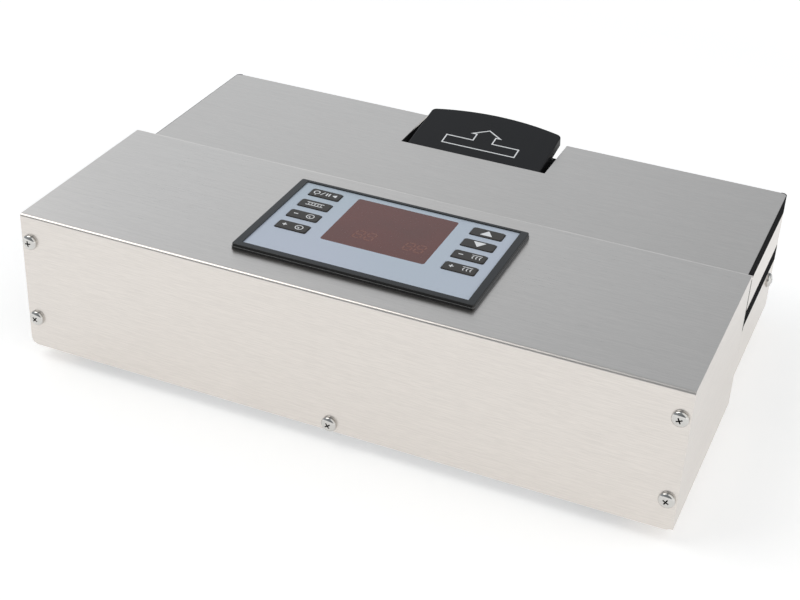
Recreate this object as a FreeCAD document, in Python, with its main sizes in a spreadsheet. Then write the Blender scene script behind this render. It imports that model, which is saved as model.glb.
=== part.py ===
import FreeCAD, Part
import math
import os
import re
import Sketcher
from FreeCAD import Placement, Rotation, Vector

# Vacuum sealer: a folded steel housing with a control panel, and a hinged sealing lid in front of it.
# Millimetres. +X runs along the sealing bar, -Y is the side the bag goes in, +Z is up.
# The origin lies on the table, in the middle of the outline.

# Driving dimensions
SIZES = {
    # Rear housing
    "width": 406, "cover_depth": 133, "cover_height": 90.3, "foot_height": 10,
    "sheet": 1.2, "bend": 2, "step_bend": 3.5, "corner": 5, "flange": 26, "fit": 0.3,
    # Rear screws
    "screw_head": 3, "screw_head_radius": 4.75, "screw_radius": 2.5, "screw_length": 8,
    "screw_side": 5.7, "screw_upper": 17.5, "screw_lower": 70.3, "screw_bottom": 4.9, "screw_slack": 0.1,
    # Front section: base shell, deck and trough
    "jaw_depth": 127, "front_inset": 4, "deck_band": 10.7, "shell_lip": 20, "pan_lap": 4,
    "pan_lip": 20, "deck_wall": 3, "trough_side": 32, "trough_back": 38, "trough_rear_gap": 35,
    "trough_depth": 14, "side_screw_back": 20, "side_screw_drop": 6.7, "lug_half": 7, "lug_thick": 9,
    "vent_count": 7, "vent_wide": 4, "vent_long": 46, "vent_pitch": 11, "vent_flat": 0.1,
    # Gaskets and sealing bar
    "gasket_margin": 5, "gasket_wide": 8, "gasket_corner": 10, "gasket_groove": 4, "gasket_proud": 0.9,
    "lid_groove": 2, "seal_back": 15, "seal_side": 42, "bar_wide": 8, "slot_slack": 1.5, "bar_drop": 0.8,
    "slot_floor": 2, "element_wide": 3, "element_thick": 0.3, "tape_thick": 0.25, "tape_leg": 5,
    # Ports in the trough
    "port_flange": 8, "port_lip": 2, "port_stem": 4, "port_bore": 2, "elbow_drop": 9.7, "barb_reach": 18,
    "hose_wall": 1.5, "hose_slack": 0.05, "hose_bend": 15,
    # Lid
    "lid_drop": 8.5, "lid_band": 12.5, "lid_skirt_height": 23, "lid_gap": 0.6, "skin": 1, "rim": 0.3,
    "lid_bend": 0.8, "lid_corner": 3, "lid_rear_gap": 2.2, "knuckle": 6.8, "lid_roof": 2, "lid_wall": 3,
    "pan_raise": 1, "pan_floor": 3, "strip_wide": 10, "strip_gap": 0.3, "notch_half": 50.5,
    "notch_back": 46.7, "notch_floor": 1.5,
    # Lid hinge
    "arm_side": 34, "arm_thick": 3, "arm_eye": 5, "arm_slack": 1.5, "pin_radius": 2.5, "pin_wall": 5,
    "pin_slack": 0.05, "arm_plate_half": 10, "arm_plate_low": 8, "arm_plate_high": 7, "arm_plate": 2.5,
    "arm_front": 6,
    # Press handle
    "handle_half": 46.5, "handle_bow": 7, "handle_tilt": 9.5, "handle_thick": 6.5, "handle_pivot_back": 5,
    "handle_pivot_drop": 5.2, "handle_pin": 2, "handle_boss": 3.4, "handle_lip": 3, "handle_lip_deep": 2.5,
    "spring_wide": 12, "spring_thick": 0.6, "spring_across": 24, "spring_root": 8, "spring_knee": 16,
    "spring_reach": 25,
    # Control panel
    "panel_width": 149, "panel_depth": 92, "panel_rear": 21.5, "panel_height": 3.2, "panel_floor": 1.6,
    "panel_corner": 1.5, "border_side": 5, "border_front": 2.6, "border_rear": 4.5, "overlay_thick": 0.8,
    "display_half": 32.6, "display_front": 7.1, "display_depth": 55.2, "display_ledge": 1.7,
    "key_across": 52.5, "key_first": 12.7, "key_pitch": 14.83, "key_wide": 20, "key_deep": 9,
    "key_corner": 1.2, "key_proud": 0.6, "key_travel": 0.5, "key_sink": 0.3, "cutout_ledge": 7,
    "post_radius": 2.5, "post_across": 58, "post_rear": 13, "post_length": 6.7, "board_thick": 1.6,
    "board_edge": 6, "board_side": 2, "tact_side": 6, "tact_slack": 0.15,
    # Lid switch
    "switch_front": 13, "plunger_radius": 2, "plunger_slack": 0.3, "plunger_proud": 1,
    "plunger_low": 1.8, "switch_long": 20, "switch_wide": 10, "switch_tall": 10, "switch_bore": 4,
    # Pump
    "pump_back": 70, "pump_height": 48, "motor_radius": 26, "motor_long": 65,
    "head_long": 38, "head_wide": 60, "head_tall": 58, "shaft_radius": 3, "shaft_slack": 0.05,
    "shaft_tail": 18, "shaft_nose": 5, "fan_radius": 23, "fan_hub": 8, "fan_wide": 8, "fan_gap": 3,
    "blade_thick": 1.6, "base_plate": 2, "base_lift": 6, "base_margin": 5, "saddle_thick": 4,
    "saddle_half": 22, "saddle_inset": 8, "grommet_radius": 7, "grommet_inset": 10, "inlet_in": 19,
    # Transformer
    "core_long": 70, "core_front": 37, "core_stack": 60, "core_tall": 57.6,
    "core_leg": 12, "core_yoke": 13.6, "core_window": 11, "coil_over": 8, "coil_slack": 0.3,
    "strap_wide": 20, "strap_thick": 1.2, "strap_foot": 12,
    # Power board
    "power_front": 22, "power_rear": 20, "power_lift": 11.6,
    "standoff_radius": 3, "standoff_inset": 6, "relay_long": 19, "relay_wide": 16, "relay_tall": 16,
    "relay_gap": 6, "relay_left": 10, "relay_clear": 2, "can_radius": 6, "can_tall": 20, "can_right": 15,
    "can_front": 18, "can_pitch": 15, "sink_left": 8, "sink_long": 50, "sink_rear": 8, "sink_deep": 17,
    "sink_tall": 24, "sink_base": 4, "sink_fin": 2, "sink_pitch": 5,
    # Release valve
    "valve_half": 12, "valve_tall": 13.6, "valve_barb": 7, "coil_radius": 11, "coil_long": 28,
    "plug_radius": 3, "plug_slack": 0.1, "plug_in": 13, "plug_out": 5, "plug_travel": 2, "plug_room": 0.5,
    "sleeve_low": 2,
    # Mains inlet and switch
    "inlet_back": 32, "inlet_height": 40, "inlet_half": 14, "inlet_rise": 10, "inlet_deep": 23,
    "inlet_wall": 2, "socket_deep": 16, "inlet_ear": 6, "inlet_plate": 2.5, "blade_wide": 4, "blade_thin": 2,
    "blade_long": 10, "blade_spread": 7, "blade_offset": 2.2,
    "rocker_height": 70, "rocker_half": 10, "rocker_rise": 6.5, "rocker_deep": 21, "rocker_cavity": 9,
    "rocker_wall": 1.5, "rocker_ear": 4, "rocker_plate": 2.5, "rocker_pivot": 5.8, "rocker_tilt": 10,
    "rocker_gap": 0.9, "rocker_side_gap": 0.3, "rocker_peak": 4.5, "rocker_valley": 3.2, "rocker_foot": 1.6,
    "trunnion": 1.2, "trunnion_long": 1.2,
    # Feet
    "foot_side": 43, "foot_front": 33, "foot_rear": 30, "foot_top": 11, "foot_bottom": 9.5,
    "foot_bore": 8, "foot_screw": 2.5, "foot_screw_head": 4.5, "foot_screw_tall": 2.5,
}

# Places along the width, as shares of its half
PORT_SHARE = 0.2956
VALVE_SHARE = 0.5419
SWITCH_SHARE = 0.5911
PUMP_SHARE = 0.8128
CORE_SHARE = 0.3448
BOARD_LEFT_SHARE = 0.197
BOARD_RIGHT_SHARE = 0.2463

# Places worked out from the driving dimensions
PLACES = {
    "half": "width/2",
    "front_half": "half - front_inset",
    "rear_y": "(cover_depth + jaw_depth + handle_bow - screw_head)/2",
    "step_y": "rear_y - cover_depth",
    "front_y": "step_y - jaw_depth",
    "base_z": "foot_height",
    "top_z": "foot_height + cover_height",
    "lid_top": "top_z - lid_drop",
    "band_z": "lid_top - lid_band",
    "lid_low": "band_z - lid_skirt_height",
    "deck_top": "lid_low - lid_gap",
    "deck_low": "deck_top - deck_band",
    "deck_rear": "step_y - fit",
    "floor_z": "base_z + 2*sheet",
    "trough_front": "front_y + trough_back",
    "trough_rear": "step_y - trough_rear_gap",
    "trough_half": "front_half - trough_side",
    "trough_low": "deck_top - trough_depth",
    "trough_mid": "(trough_front + trough_rear)/2",
    "port_across": f"{PORT_SHARE}*half",
    "port_elbow": "trough_low - elbow_drop",
    "valve_across": f"{VALVE_SHARE}*half",
    "switch_across": f"{SWITCH_SHARE}*half",
    "ring_x": "trough_half + gasket_margin",
    "ring_front": "trough_front - gasket_margin",
    "ring_rear": "trough_rear + gasket_margin",
    "seal_y": "front_y + seal_back",
    "seal_half": "front_half - seal_side",
    "slot_low": "deck_low + slot_floor",
    "bar_top": "deck_top - bar_drop",
    "element_top": "bar_top + element_thick",
    "tape_top": "element_top + tape_thick",
    "lid_rear": "step_y - lid_rear_gap",
    "hinge_y": "lid_rear - knuckle",
    "hinge_z": "lid_top - knuckle",
    "arm_across": "front_half - arm_side",
    "plate_rear": "hinge_y - lid_bend",
    "pan_low": "lid_low + pan_raise",
    "inner_front": "front_y + skin",
    "inner_half": "front_half - skin",
    "plate_half": "front_half - rim",
    "notch_y": "front_y + notch_back",
    "pivot_y": "notch_y - handle_pivot_back",
    "pivot_z": "lid_top - handle_pivot_drop",
    "panel_back": "rear_y - panel_rear",
    "panel_front": "panel_back - panel_depth",
    "panel_top": "top_z + panel_height",
    "seat_z": "top_z + panel_floor",
    "overlay_top": "seat_z + overlay_thick",
    "overlay_x": "panel_width/2 - border_side",
    "overlay_front": "panel_front + border_front",
    "overlay_back": "panel_back - border_rear",
    "display_y": "panel_front + display_front",
    "display_back": "display_y + display_depth",
    "board_top": "top_z - post_length",
    "key_low": "top_z + key_sink",
    "pump_y": "rear_y - pump_back",
    "motor_outer": f"{PUMP_SHARE}*half",
    "motor_inner": "motor_outer - motor_long",
    "inlet_across": "motor_inner - inlet_in",
    "core_inner": f"{CORE_SHARE}*half",
    "power_left": f"{BOARD_LEFT_SHARE}*half",
    "power_right": f"{BOARD_RIGHT_SHARE}*half",
    "inlet_y": "rear_y - inlet_back",
    "pan_x": "half - flange + pan_lap",
    "foot_across": "half - foot_side",
}

WORD = re.compile(r"[a-z_]+")
PLANES = {"x": "YZ_Plane", "y": "XZ_Plane", "z": "XY_Plane"}

doc = FreeCAD.newDocument("vacuum_sealer")
sheet = doc.addObject("Spreadsheet::Sheet", "dims")
for row, (alias, size) in enumerate(SIZES.items(), 1):
    sheet.set(f"A{row}", alias.replace("_", " "))
    sheet.set(f"B{row}", str(size))
    sheet.setAlias(f"B{row}", alias)
doc.recompute()

nodes = []


def formula(text):
    """Text in named sizes and places, as an expression on the sheet's cells."""
    def word(match):
        name = match.group()
        if name in PLACES:
            return f"({formula(PLACES[name])})"
        return f"dims.{name}" if name in SIZES else name
    return WORD.sub(word, str(text))


def number(text):
    """Present value of a formula."""
    return float(sheet.evalExpression(formula(text)))


def bind(item, **sizes):
    """Tie properties to formulas; a double underscore stands for a dot."""
    for name, text in sizes.items():
        item.setExpression(name.replace("__", "."), formula(text))


def node(item, label):
    """Keep an object as the sub-part of that name."""
    item.Label = label
    nodes.append(item)
    return item


# Part primitives and booleans

def box(name, x, y, z):
    """Block between two formulas on each axis."""
    item = doc.addObject("Part::Box", name)
    bind(item, Length=f"({x[1]}) - ({x[0]})", Width=f"({y[1]}) - ({y[0]})", Height=f"({z[1]}) - ({z[0]})",
         Placement__Base__x=x[0], Placement__Base__y=y[0], Placement__Base__z=z[0])
    return item


def rod(name, axis, spot, span, radius, tip=None):
    """Round bar along an axis; spot is its place on the other two axes, in their order."""
    item = doc.addObject("Part::Cone" if tip else "Part::Cylinder", name)
    turn = {"x": Rotation(Vector(0, 1, 0), 90), "y": Rotation(Vector(1, 0, 0), -90), "z": Rotation()}[axis]
    item.Placement = Placement(Vector(), turn)
    spots = list(spot)
    spots.insert("xyz".index(axis), span[0])
    bind(item, Height=f"({span[1]}) - ({span[0]})",
         Placement__Base__x=spots[0], Placement__Base__y=spots[1], Placement__Base__z=spots[2])
    if tip:
        bind(item, Radius1=radius, Radius2=tip)
    else:
        bind(item, Radius=radius)
    return item


def fuse(name, *items):
    item = doc.addObject("Part::MultiFuse", name)
    item.Shapes = list(items)
    item.Refine = True
    return item


def cut(name, base, *tools):
    item = doc.addObject("Part::Cut", name)
    item.Base = base
    item.Tool = tools[0] if len(tools) == 1 else fuse(f"{name}_tools", *tools)
    return item


def group(name, *items):
    """Separate solids in one sub-part."""
    item = doc.addObject("Part::Compound", name)
    item.Links = list(items)
    return item


# Sketched bodies

def body(name):
    return doc.addObject("PartDesign::Body", name)


def fix(sketch, kind, geometry, point, text):
    """Hold one coordinate of a sketch point at a formula."""
    index = sketch.addConstraint(Sketcher.Constraint(kind, -1, 1, geometry, point, number(text)))
    sketch.setExpression(f"Constraints[{index}]", formula(text))


def polygon(sketch, points):
    """Closed outline through points given as pairs of formulas."""
    spots = [Vector(number(a), number(b), 0) for a, b in points]
    lines = [sketch.addGeometry(Part.LineSegment(spots[i - 1], spots[i])) for i in range(len(spots))]
    for i, line in enumerate(lines):
        sketch.addConstraint(Sketcher.Constraint("Coincident", lines[i - 1], 2, line, 1))
        fix(sketch, "DistanceX", line, 2, points[i][0])
        fix(sketch, "DistanceY", line, 2, points[i][1])


def rectangle(sketch, a, b):
    polygon(sketch, [(a[0], b[0]), (a[1], b[0]), (a[1], b[1]), (a[0], b[1])])


def rounded(sketch, a, b, radius):
    """Rectangle with round corners."""
    low_a, high_a, low_b, high_b = (number(text) for text in (*a, *b))
    curve = number(radius)
    ends = [((low_a + curve, low_b), (high_a - curve, low_b)),
            ((high_a, low_b + curve), (high_a, high_b - curve)),
            ((high_a - curve, high_b), (low_a + curve, high_b)),
            ((low_a, high_b - curve), (low_a, low_b + curve))]
    centres = [(high_a - curve, low_b + curve), (high_a - curve, high_b - curve),
               (low_a + curve, high_b - curve), (low_a + curve, low_b + curve)]
    lines = [sketch.addGeometry(Part.LineSegment(Vector(*start, 0), Vector(*end, 0))) for start, end in ends]
    quarter = math.pi / 2
    arcs = []
    for i, centre in enumerate(centres):
        circle = Part.Circle(Vector(*centre, 0), Vector(0, 0, 1), curve)
        arcs.append(sketch.addGeometry(Part.ArcOfCircle(circle, (i - 1) * quarter, i * quarter)))
    for i, arc in enumerate(arcs):
        sketch.addConstraint(Sketcher.Constraint("Tangent", lines[i], 2, arc, 1))
        sketch.addConstraint(Sketcher.Constraint("Tangent", arc, 2, lines[(i + 1) % 4], 1))
        sketch.addConstraint(Sketcher.Constraint("Vertical" if i % 2 else "Horizontal", lines[i]))
    for arc in arcs[1:]:
        sketch.addConstraint(Sketcher.Constraint("Equal", arcs[0], arc))
    index = sketch.addConstraint(Sketcher.Constraint("Radius", arcs[0], curve))
    sketch.setExpression(f"Constraints[{index}]", formula(radius))
    fix(sketch, "DistanceY", lines[0], 1, b[0])
    fix(sketch, "DistanceX", lines[1], 1, a[1])
    fix(sketch, "DistanceY", lines[2], 1, b[1])
    fix(sketch, "DistanceX", lines[3], 1, a[0])


def disc(sketch, a, b, radius):
    """Circle at a place given by formulas."""
    circle = Part.Circle(Vector(number(a), number(b), 0), Vector(0, 0, 1), number(radius))
    ring = sketch.addGeometry(circle)
    fix(sketch, "DistanceX", ring, 3, a)
    fix(sketch, "DistanceY", ring, 3, b)
    index = sketch.addConstraint(Sketcher.Constraint("Radius", ring, number(radius)))
    sketch.setExpression(f"Constraints[{index}]", formula(radius))


def sketch_at(owner, axis, height):
    """Sketch across an axis at a height along the plane's own normal."""
    sketch = owner.newObject("Sketcher::SketchObject", f"{owner.Name}_sketch")
    planes = {plane.Role: plane for plane in owner.Origin.OriginFeatures}
    sketch.AttachmentSupport = [(planes[PLANES[axis]], "")]
    sketch.MapMode = "FlatFace"
    bind(sketch, AttachmentOffset__Base__z=height)
    return sketch


def normal_span(axis, span):
    """The span along the plane's normal, which points to -Y on the XZ plane."""
    return (f"-({span[1]})", f"-({span[0]})") if axis == "y" else span


def extrude(owner, kind, axis, span, outlines):
    """Pad up from the low end of the span, or pocket down from its high end."""
    low, high = normal_span(axis, span)
    sketch = sketch_at(owner, axis, low if kind == "Pad" else high)
    for shape, *sizes in outlines:
        shape(sketch, *sizes)
    feature = owner.newObject(f"PartDesign::{kind}", f"{owner.Name}_{kind}")
    feature.Profile = sketch
    bind(feature, Length=f"({high}) - ({low})")
    return feature


def pad(owner, axis, span, *outlines):
    return extrude(owner, "Pad", axis, span, outlines)


def pocket(owner, axis, span, *outlines):
    return extrude(owner, "Pocket", axis, span, outlines)


def fillet(owner, radius, axis, *places):
    """Round the straight edges along an axis that pass through places on the other two axes."""
    doc.recompute()
    base = owner.Tip
    wanted = [[number(text) for text in place] for place in places]
    others = [i for i in range(3) if i != "xyz".index(axis)]
    near = 0.05
    picks = []
    for i, edge in enumerate(base.Shape.Edges, 1):
        ends = [vertex.Point for vertex in edge.Vertexes]
        if len(ends) != 2 or any(abs(ends[0][k] - ends[1][k]) > near for k in others):
            continue
        if any(all(abs(ends[0][k] - value) < near for k, value in zip(others, spot)) for spot in wanted):
            picks.append(f"Edge{i}")
    feature = owner.newObject("PartDesign::Fillet", f"{owner.Name}_Fillet")
    feature.Base = (base, picks)
    bind(feature, Radius=radius)
    return feature


def both(text):
    """A span that is the same on both sides of zero."""
    return (f"-({text})", text)


def around(middle, reach):
    """A span about a middle."""
    return (f"{middle} - ({reach})", f"{middle} + {reach}")


def side(sign, text):
    """A place on the right (+1) or the left (-1)."""
    return text if sign > 0 else f"-({text})"


def side_span(sign, low, high):
    return (low, high) if sign > 0 else (f"-({high})", f"-({low})")


def screws(name, axis, outward, seat, places, head, head_radius, radius, length):
    """Pan-head screws whose heads sit on one plane and point outward along an axis."""
    solids = []
    for i, place in enumerate(places):
        face = seat[i] if isinstance(seat, list) else seat
        way = outward[i] if isinstance(outward, list) else outward
        head_span = (face, f"{face} + {head}") if way > 0 else (f"{face} - {head}", face)
        shank = (f"{face} - {length}", face) if way > 0 else (face, f"{face} + {length}")
        solids.append(fuse(f"{name}_{i}", rod(f"{name}_head_{i}", axis, place, head_span, head_radius),
                           rod(f"{name}_shank_{i}", axis, place, shank, radius)))
    return node(group(name, *solids), name)


# Rear housing

SCREW_PLACES = [(side(sign, "half - screw_side"), f"top_z - {drop}")
                for sign in (-1, 1) for drop in ("screw_upper", "screw_lower")]
SCREW_PLACES.append(("0", "base_z + screw_bottom"))


def make_rear_cover():
    """One folded sheet: rear wall, top and the wall behind the lid."""
    cover = body("rear_cover")
    pad(cover, "x", both("half"), (polygon, [
        ("rear_y", "base_z"), ("rear_y", "top_z"), ("step_y", "top_z"), ("step_y", "deck_low"),
        ("step_y + sheet", "deck_low"), ("step_y + sheet", "top_z - sheet"),
        ("rear_y - sheet", "top_z - sheet"), ("rear_y - sheet", "base_z")]))
    fillet(cover, "step_bend - sheet", "x", ("step_y + sheet", "top_z - sheet"))
    fillet(cover, "bend - sheet", "x", ("rear_y - sheet", "top_z - sheet"))
    fillet(cover, "step_bend", "x", ("step_y", "top_z"))
    fillet(cover, "bend", "x", ("rear_y", "top_z"))
    fillet(cover, "corner", "y", ("half", "base_z"), ("-half", "base_z"))
    ledge = "cutout_ledge"
    pocket(cover, "z", ("top_z - 2*sheet", "top_z"), (
        rectangle, both(f"panel_width/2 - {ledge}"), (f"panel_front + {ledge}", f"panel_back - {ledge}")))
    holes = [(disc, *place, "screw_radius + screw_slack") for place in SCREW_PLACES]
    pocket(cover, "y", ("rear_y - 2*sheet", "rear_y"), *holes)
    slots = [(rectangle, around(side(sign, "arm_across"), "arm_thick/2 + fit"),
              ("hinge_z - arm_eye - fit", "hinge_z + fit")) for sign in (-1, 1)]
    pocket(cover, "y", ("step_y", "step_y + 2*sheet"), *slots)
    node(cover, "rear_cover")
    screws("cover_screws", "y", 1, "rear_y", SCREW_PLACES, "screw_head", "screw_head_radius", "screw_radius",
           "screw_length")


def make_side_panel(label, sign):
    """Flanged end panel of the rear housing."""
    panel = body(label)
    span_y = ("step_y + sheet", "rear_y - sheet")
    span_z = ("base_z", "top_z - sheet")
    pad(panel, "x", side_span(sign, "half - flange", "half"), (rectangle, span_y, span_z))
    pocket(panel, "x", side_span(sign, "half - flange", "half - sheet"), (
        rectangle, (f"{span_y[0]} + sheet", f"{span_y[1]} - sheet"),
        (f"{span_z[0]} + sheet", f"{span_z[1]} - sheet")))
    fillet(panel, "step_bend - sheet", "x", (span_y[0], span_z[1]))
    fillet(panel, "bend - sheet", "x", (span_y[1], span_z[1]))
    pocket(panel, "y", ("step_y + sheet", "step_y + 2*sheet"), (
        rectangle, side_span(sign, "half - flange", "pan_x + fit"), ("base_z + sheet", "floor_z + fit")))
    holes = [(disc, *place, "screw_radius + screw_slack") for place in SCREW_PLACES[:4]]
    pocket(panel, "y", ("rear_y - 3*sheet", "rear_y - sheet"), *(holes[:2] if sign < 0 else holes[2:]))
    if sign > 0:
        pocket(panel, "x", ("half - 2*sheet", "half"),
               (rectangle, around("inlet_y", "inlet_half + screw_slack"),
                around("inlet_height", "inlet_rise + screw_slack")),
               (rectangle, around("inlet_y", "rocker_half + screw_slack"),
                around("rocker_height", "rocker_rise + screw_slack")))
    node(panel, label)


def make_front_shell():
    """Steel skirt round the front of the base, open behind, with a lip under the pan."""
    shell = body("front_shell")
    pad(shell, "z", ("base_z", "deck_low"), (rectangle, both("front_half"), ("front_y", "deck_rear")))
    fillet(shell, "lid_corner", "z", ("front_half", "front_y"), ("-front_half", "front_y"))
    pocket(shell, "z", ("base_z + sheet", "deck_low"), (
        rounded, both("front_half - sheet"), ("front_y + sheet", "deck_rear + 4*lid_corner"),
        "lid_corner - sheet"))
    pocket(shell, "z", ("base_z", "base_z + 2*sheet"), (
        rectangle, both("front_half - shell_lip"), ("front_y + shell_lip", "deck_rear + lid_corner")))
    pocket(shell, "x", both("front_half"), (
        disc, "front_y + side_screw_back", "deck_low - side_screw_drop", "screw_radius + screw_slack"))
    node(shell, "front_shell")
    screws("side_screws", "x", [-1, 1], ["-front_half", "front_half"],
           [("front_y + side_screw_back", "deck_low - side_screw_drop")] * 2,
           "screw_head", "screw_head_radius", "screw_radius", "screw_length")


FOOT_PLACES = [(side(sign, "foot_across"), spot)
               for sign in (-1, 1) for spot in ("front_y + foot_front", "rear_y - foot_rear")]


def make_chassis():
    """Bottom pan with vents, on four rubber feet."""
    pan = body("chassis_pan")
    floor = ("base_z + sheet", "floor_z")
    pad(pan, "z", floor, (rectangle, both("pan_x"), ("front_y + shell_lip/2", "rear_y - 2*sheet")))
    pad(pan, "y", ("rear_y - 2*sheet", "rear_y - sheet"), (
        rectangle, both("half - flange - pan_lap"), ("base_z + sheet", "base_z + pan_lip")))
    vents = []
    for i in range(SIZES["vent_count"]):
        middle = f"(({i} - (vent_count - 1)/2)*vent_pitch)"
        vents.append((rounded, around(middle, "vent_wide/2"), around("pump_y", "vent_long/2"),
                      "vent_wide/2 - vent_flat"))
    pocket(pan, "z", floor, *vents, *[(disc, *place, "foot_screw + screw_slack") for place in FOOT_PLACES])
    pocket(pan, "y", ("rear_y - 3*sheet", "rear_y - sheet"), (
        disc, *SCREW_PLACES[4], "screw_radius + screw_slack"))
    node(pan, "chassis_pan")
    feet = []
    for i, place in enumerate(FOOT_PLACES):
        cone = rod(f"foot_cone_{i}", "z", place, ("0", "base_z + sheet"), "foot_bottom", tip="foot_top")
        bore_span = ("base_z + sheet - foot_bore", "base_z + sheet")
        bore = rod(f"foot_hole_{i}", "z", place, bore_span, "foot_screw")
        feet.append(cut(f"foot_{i}", cone, bore))
    node(group("rubber_feet", *feet), "rubber_feet")
    screws("foot_screws", "z", 1, "floor_z", FOOT_PLACES, "foot_screw_tall", "foot_screw_head", "foot_screw",
           "foot_bore")


# Front section: deck, trough, gasket and sealing bar

def ring_outlines():
    """Outer and inner outline of the gasket ring, which both gaskets and both grooves share."""
    outer = (rounded, both("ring_x + gasket_wide"), ("ring_front - gasket_wide", "ring_rear + gasket_wide"),
             "gasket_corner")
    inner = (rounded, both("ring_x"), ("ring_front", "ring_rear"), "gasket_corner - gasket_wide/2")
    return outer, inner


def make_deck():
    """Moulded deck with the vacuum trough hanging under it."""
    deck = body("lower_deck")
    pad(deck, "z", ("deck_low", "deck_top"), (rectangle, both("front_half"), ("front_y", "deck_rear")))
    fillet(deck, "lid_corner", "z", ("front_half", "front_y"), ("-front_half", "front_y"))
    pad(deck, "z", ("trough_low - deck_wall", "deck_low"), (
        rectangle, both("trough_half + deck_wall"), ("trough_front - deck_wall", "trough_rear + deck_wall")))
    lug_x = "front_half - sheet - fit"
    for sign in (-1, 1):
        pad(deck, "z", ("deck_low - 2*lug_half", "deck_low"), (
            rectangle, side_span(sign, f"{lug_x} - lug_thick", lug_x),
            around("(front_y + side_screw_back)", "lug_half")))
    pocket(deck, "x", both("front_half"), (
        disc, "front_y + side_screw_back", "deck_low - side_screw_drop", "screw_radius"))
    pocket(deck, "z", ("trough_low", "deck_top"), (
        rounded, both("trough_half"), ("trough_front", "trough_rear"), "corner"))
    pocket(deck, "z", ("deck_top - gasket_groove", "deck_top"), *ring_outlines())
    pocket(deck, "z", ("slot_low", "deck_top"), (
        rectangle, both("seal_half + 2*slot_slack"), around("seal_y", "bar_wide/2 + slot_slack")))
    pocket(deck, "z", ("trough_low - deck_wall", "trough_low"),
           (disc, "port_across", "trough_mid", "port_stem"),
           (disc, "-valve_across", "trough_mid", "port_stem"))
    pocket(deck, "z", ("deck_low", "deck_top"), (
        disc, "-switch_across", "step_y - switch_front", "plunger_radius + plunger_slack"))
    node(deck, "lower_deck")

    gasket = body("lower_gasket")
    pad(gasket, "z", ("deck_top - gasket_groove", "deck_top + gasket_proud"), *ring_outlines())
    node(gasket, "lower_gasket")


def make_sealing_bar():
    """Bar, flat heating element on it, and the tape folded over both."""
    node(box("seal_bar", both("seal_half"), around("seal_y", "bar_wide/2"), ("slot_low", "bar_top")),
         "seal_bar")
    node(box("heating_element", both("seal_half - slot_slack"), around("seal_y", "element_wide/2"),
             ("bar_top", "element_top")), "heating_element")
    tape = body("nonstick_tape")
    outer = "bar_wide/2 + tape_thick"
    pad(tape, "x", both("seal_half"), (polygon, [
        (f"seal_y - ({outer})", "bar_top - tape_leg"), ("seal_y - bar_wide/2", "bar_top - tape_leg"),
        ("seal_y - bar_wide/2", "element_top"), ("seal_y + bar_wide/2", "element_top"),
        ("seal_y + bar_wide/2", "bar_top - tape_leg"), (f"seal_y + {outer}", "bar_top - tape_leg"),
        (f"seal_y + {outer}", "tape_top"), (f"seal_y - ({outer})", "tape_top")]))
    node(tape, "nonstick_tape")


def make_ports():
    """Suction port with an elbow for the pump's hose, and the straight release port."""
    spots = [("port_across", "trough_mid"), ("-valve_across", "trough_mid")]
    ports = []
    for i, spot in enumerate(spots):
        low = "port_elbow - port_stem" if i == 0 else "trough_low - deck_wall - port_stem"
        lip = rod(f"port_lip_{i}", "z", spot, ("trough_low", "trough_low + port_lip"), "port_flange")
        stem = fuse(f"port_stem_{i}", lip, rod(f"port_pipe_{i}", "z", spot, (low, "trough_low"), "port_stem"))
        bore = rod(f"port_bore_{i}", "z", spot, (f"{low} + port_bore", "trough_low + port_lip"), "port_bore")
        if i == 0:
            reach = ("trough_mid", "trough_mid + barb_reach")
            axis = ("port_across", "port_elbow")
            stem = fuse("port_elbow_pipe", stem, rod("port_barb", "y", axis, reach, "port_stem"))
            bore = fuse("port_elbow_bore", bore, rod("port_barb_bore", "y", axis, reach, "port_bore"))
        ports.append(cut(f"port_{i}", stem, bore))
    node(group("chamber_ports", *ports), "chamber_ports")


def make_lid_switch():
    """Small switch under the deck, and the plunger that the closing lid pushes down."""
    spot = ("-switch_across", "step_y - switch_front")
    case = box("switch_case", around("-switch_across", "switch_long/2"),
               around("(step_y - switch_front)", "switch_wide/2"), ("deck_low - switch_tall", "deck_low"))
    bore = rod("switch_hole", "z", spot, ("deck_low - switch_bore", "deck_low"),
               "plunger_radius + plunger_slack")
    node(cut("lid_switch", case, bore), "lid_switch")
    travel = ("deck_low - plunger_low", "deck_top + plunger_proud")
    node(rod("lid_switch_plunger", "z", spot, travel, "plunger_radius"), "lid_switch_plunger")


# Lid

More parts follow.
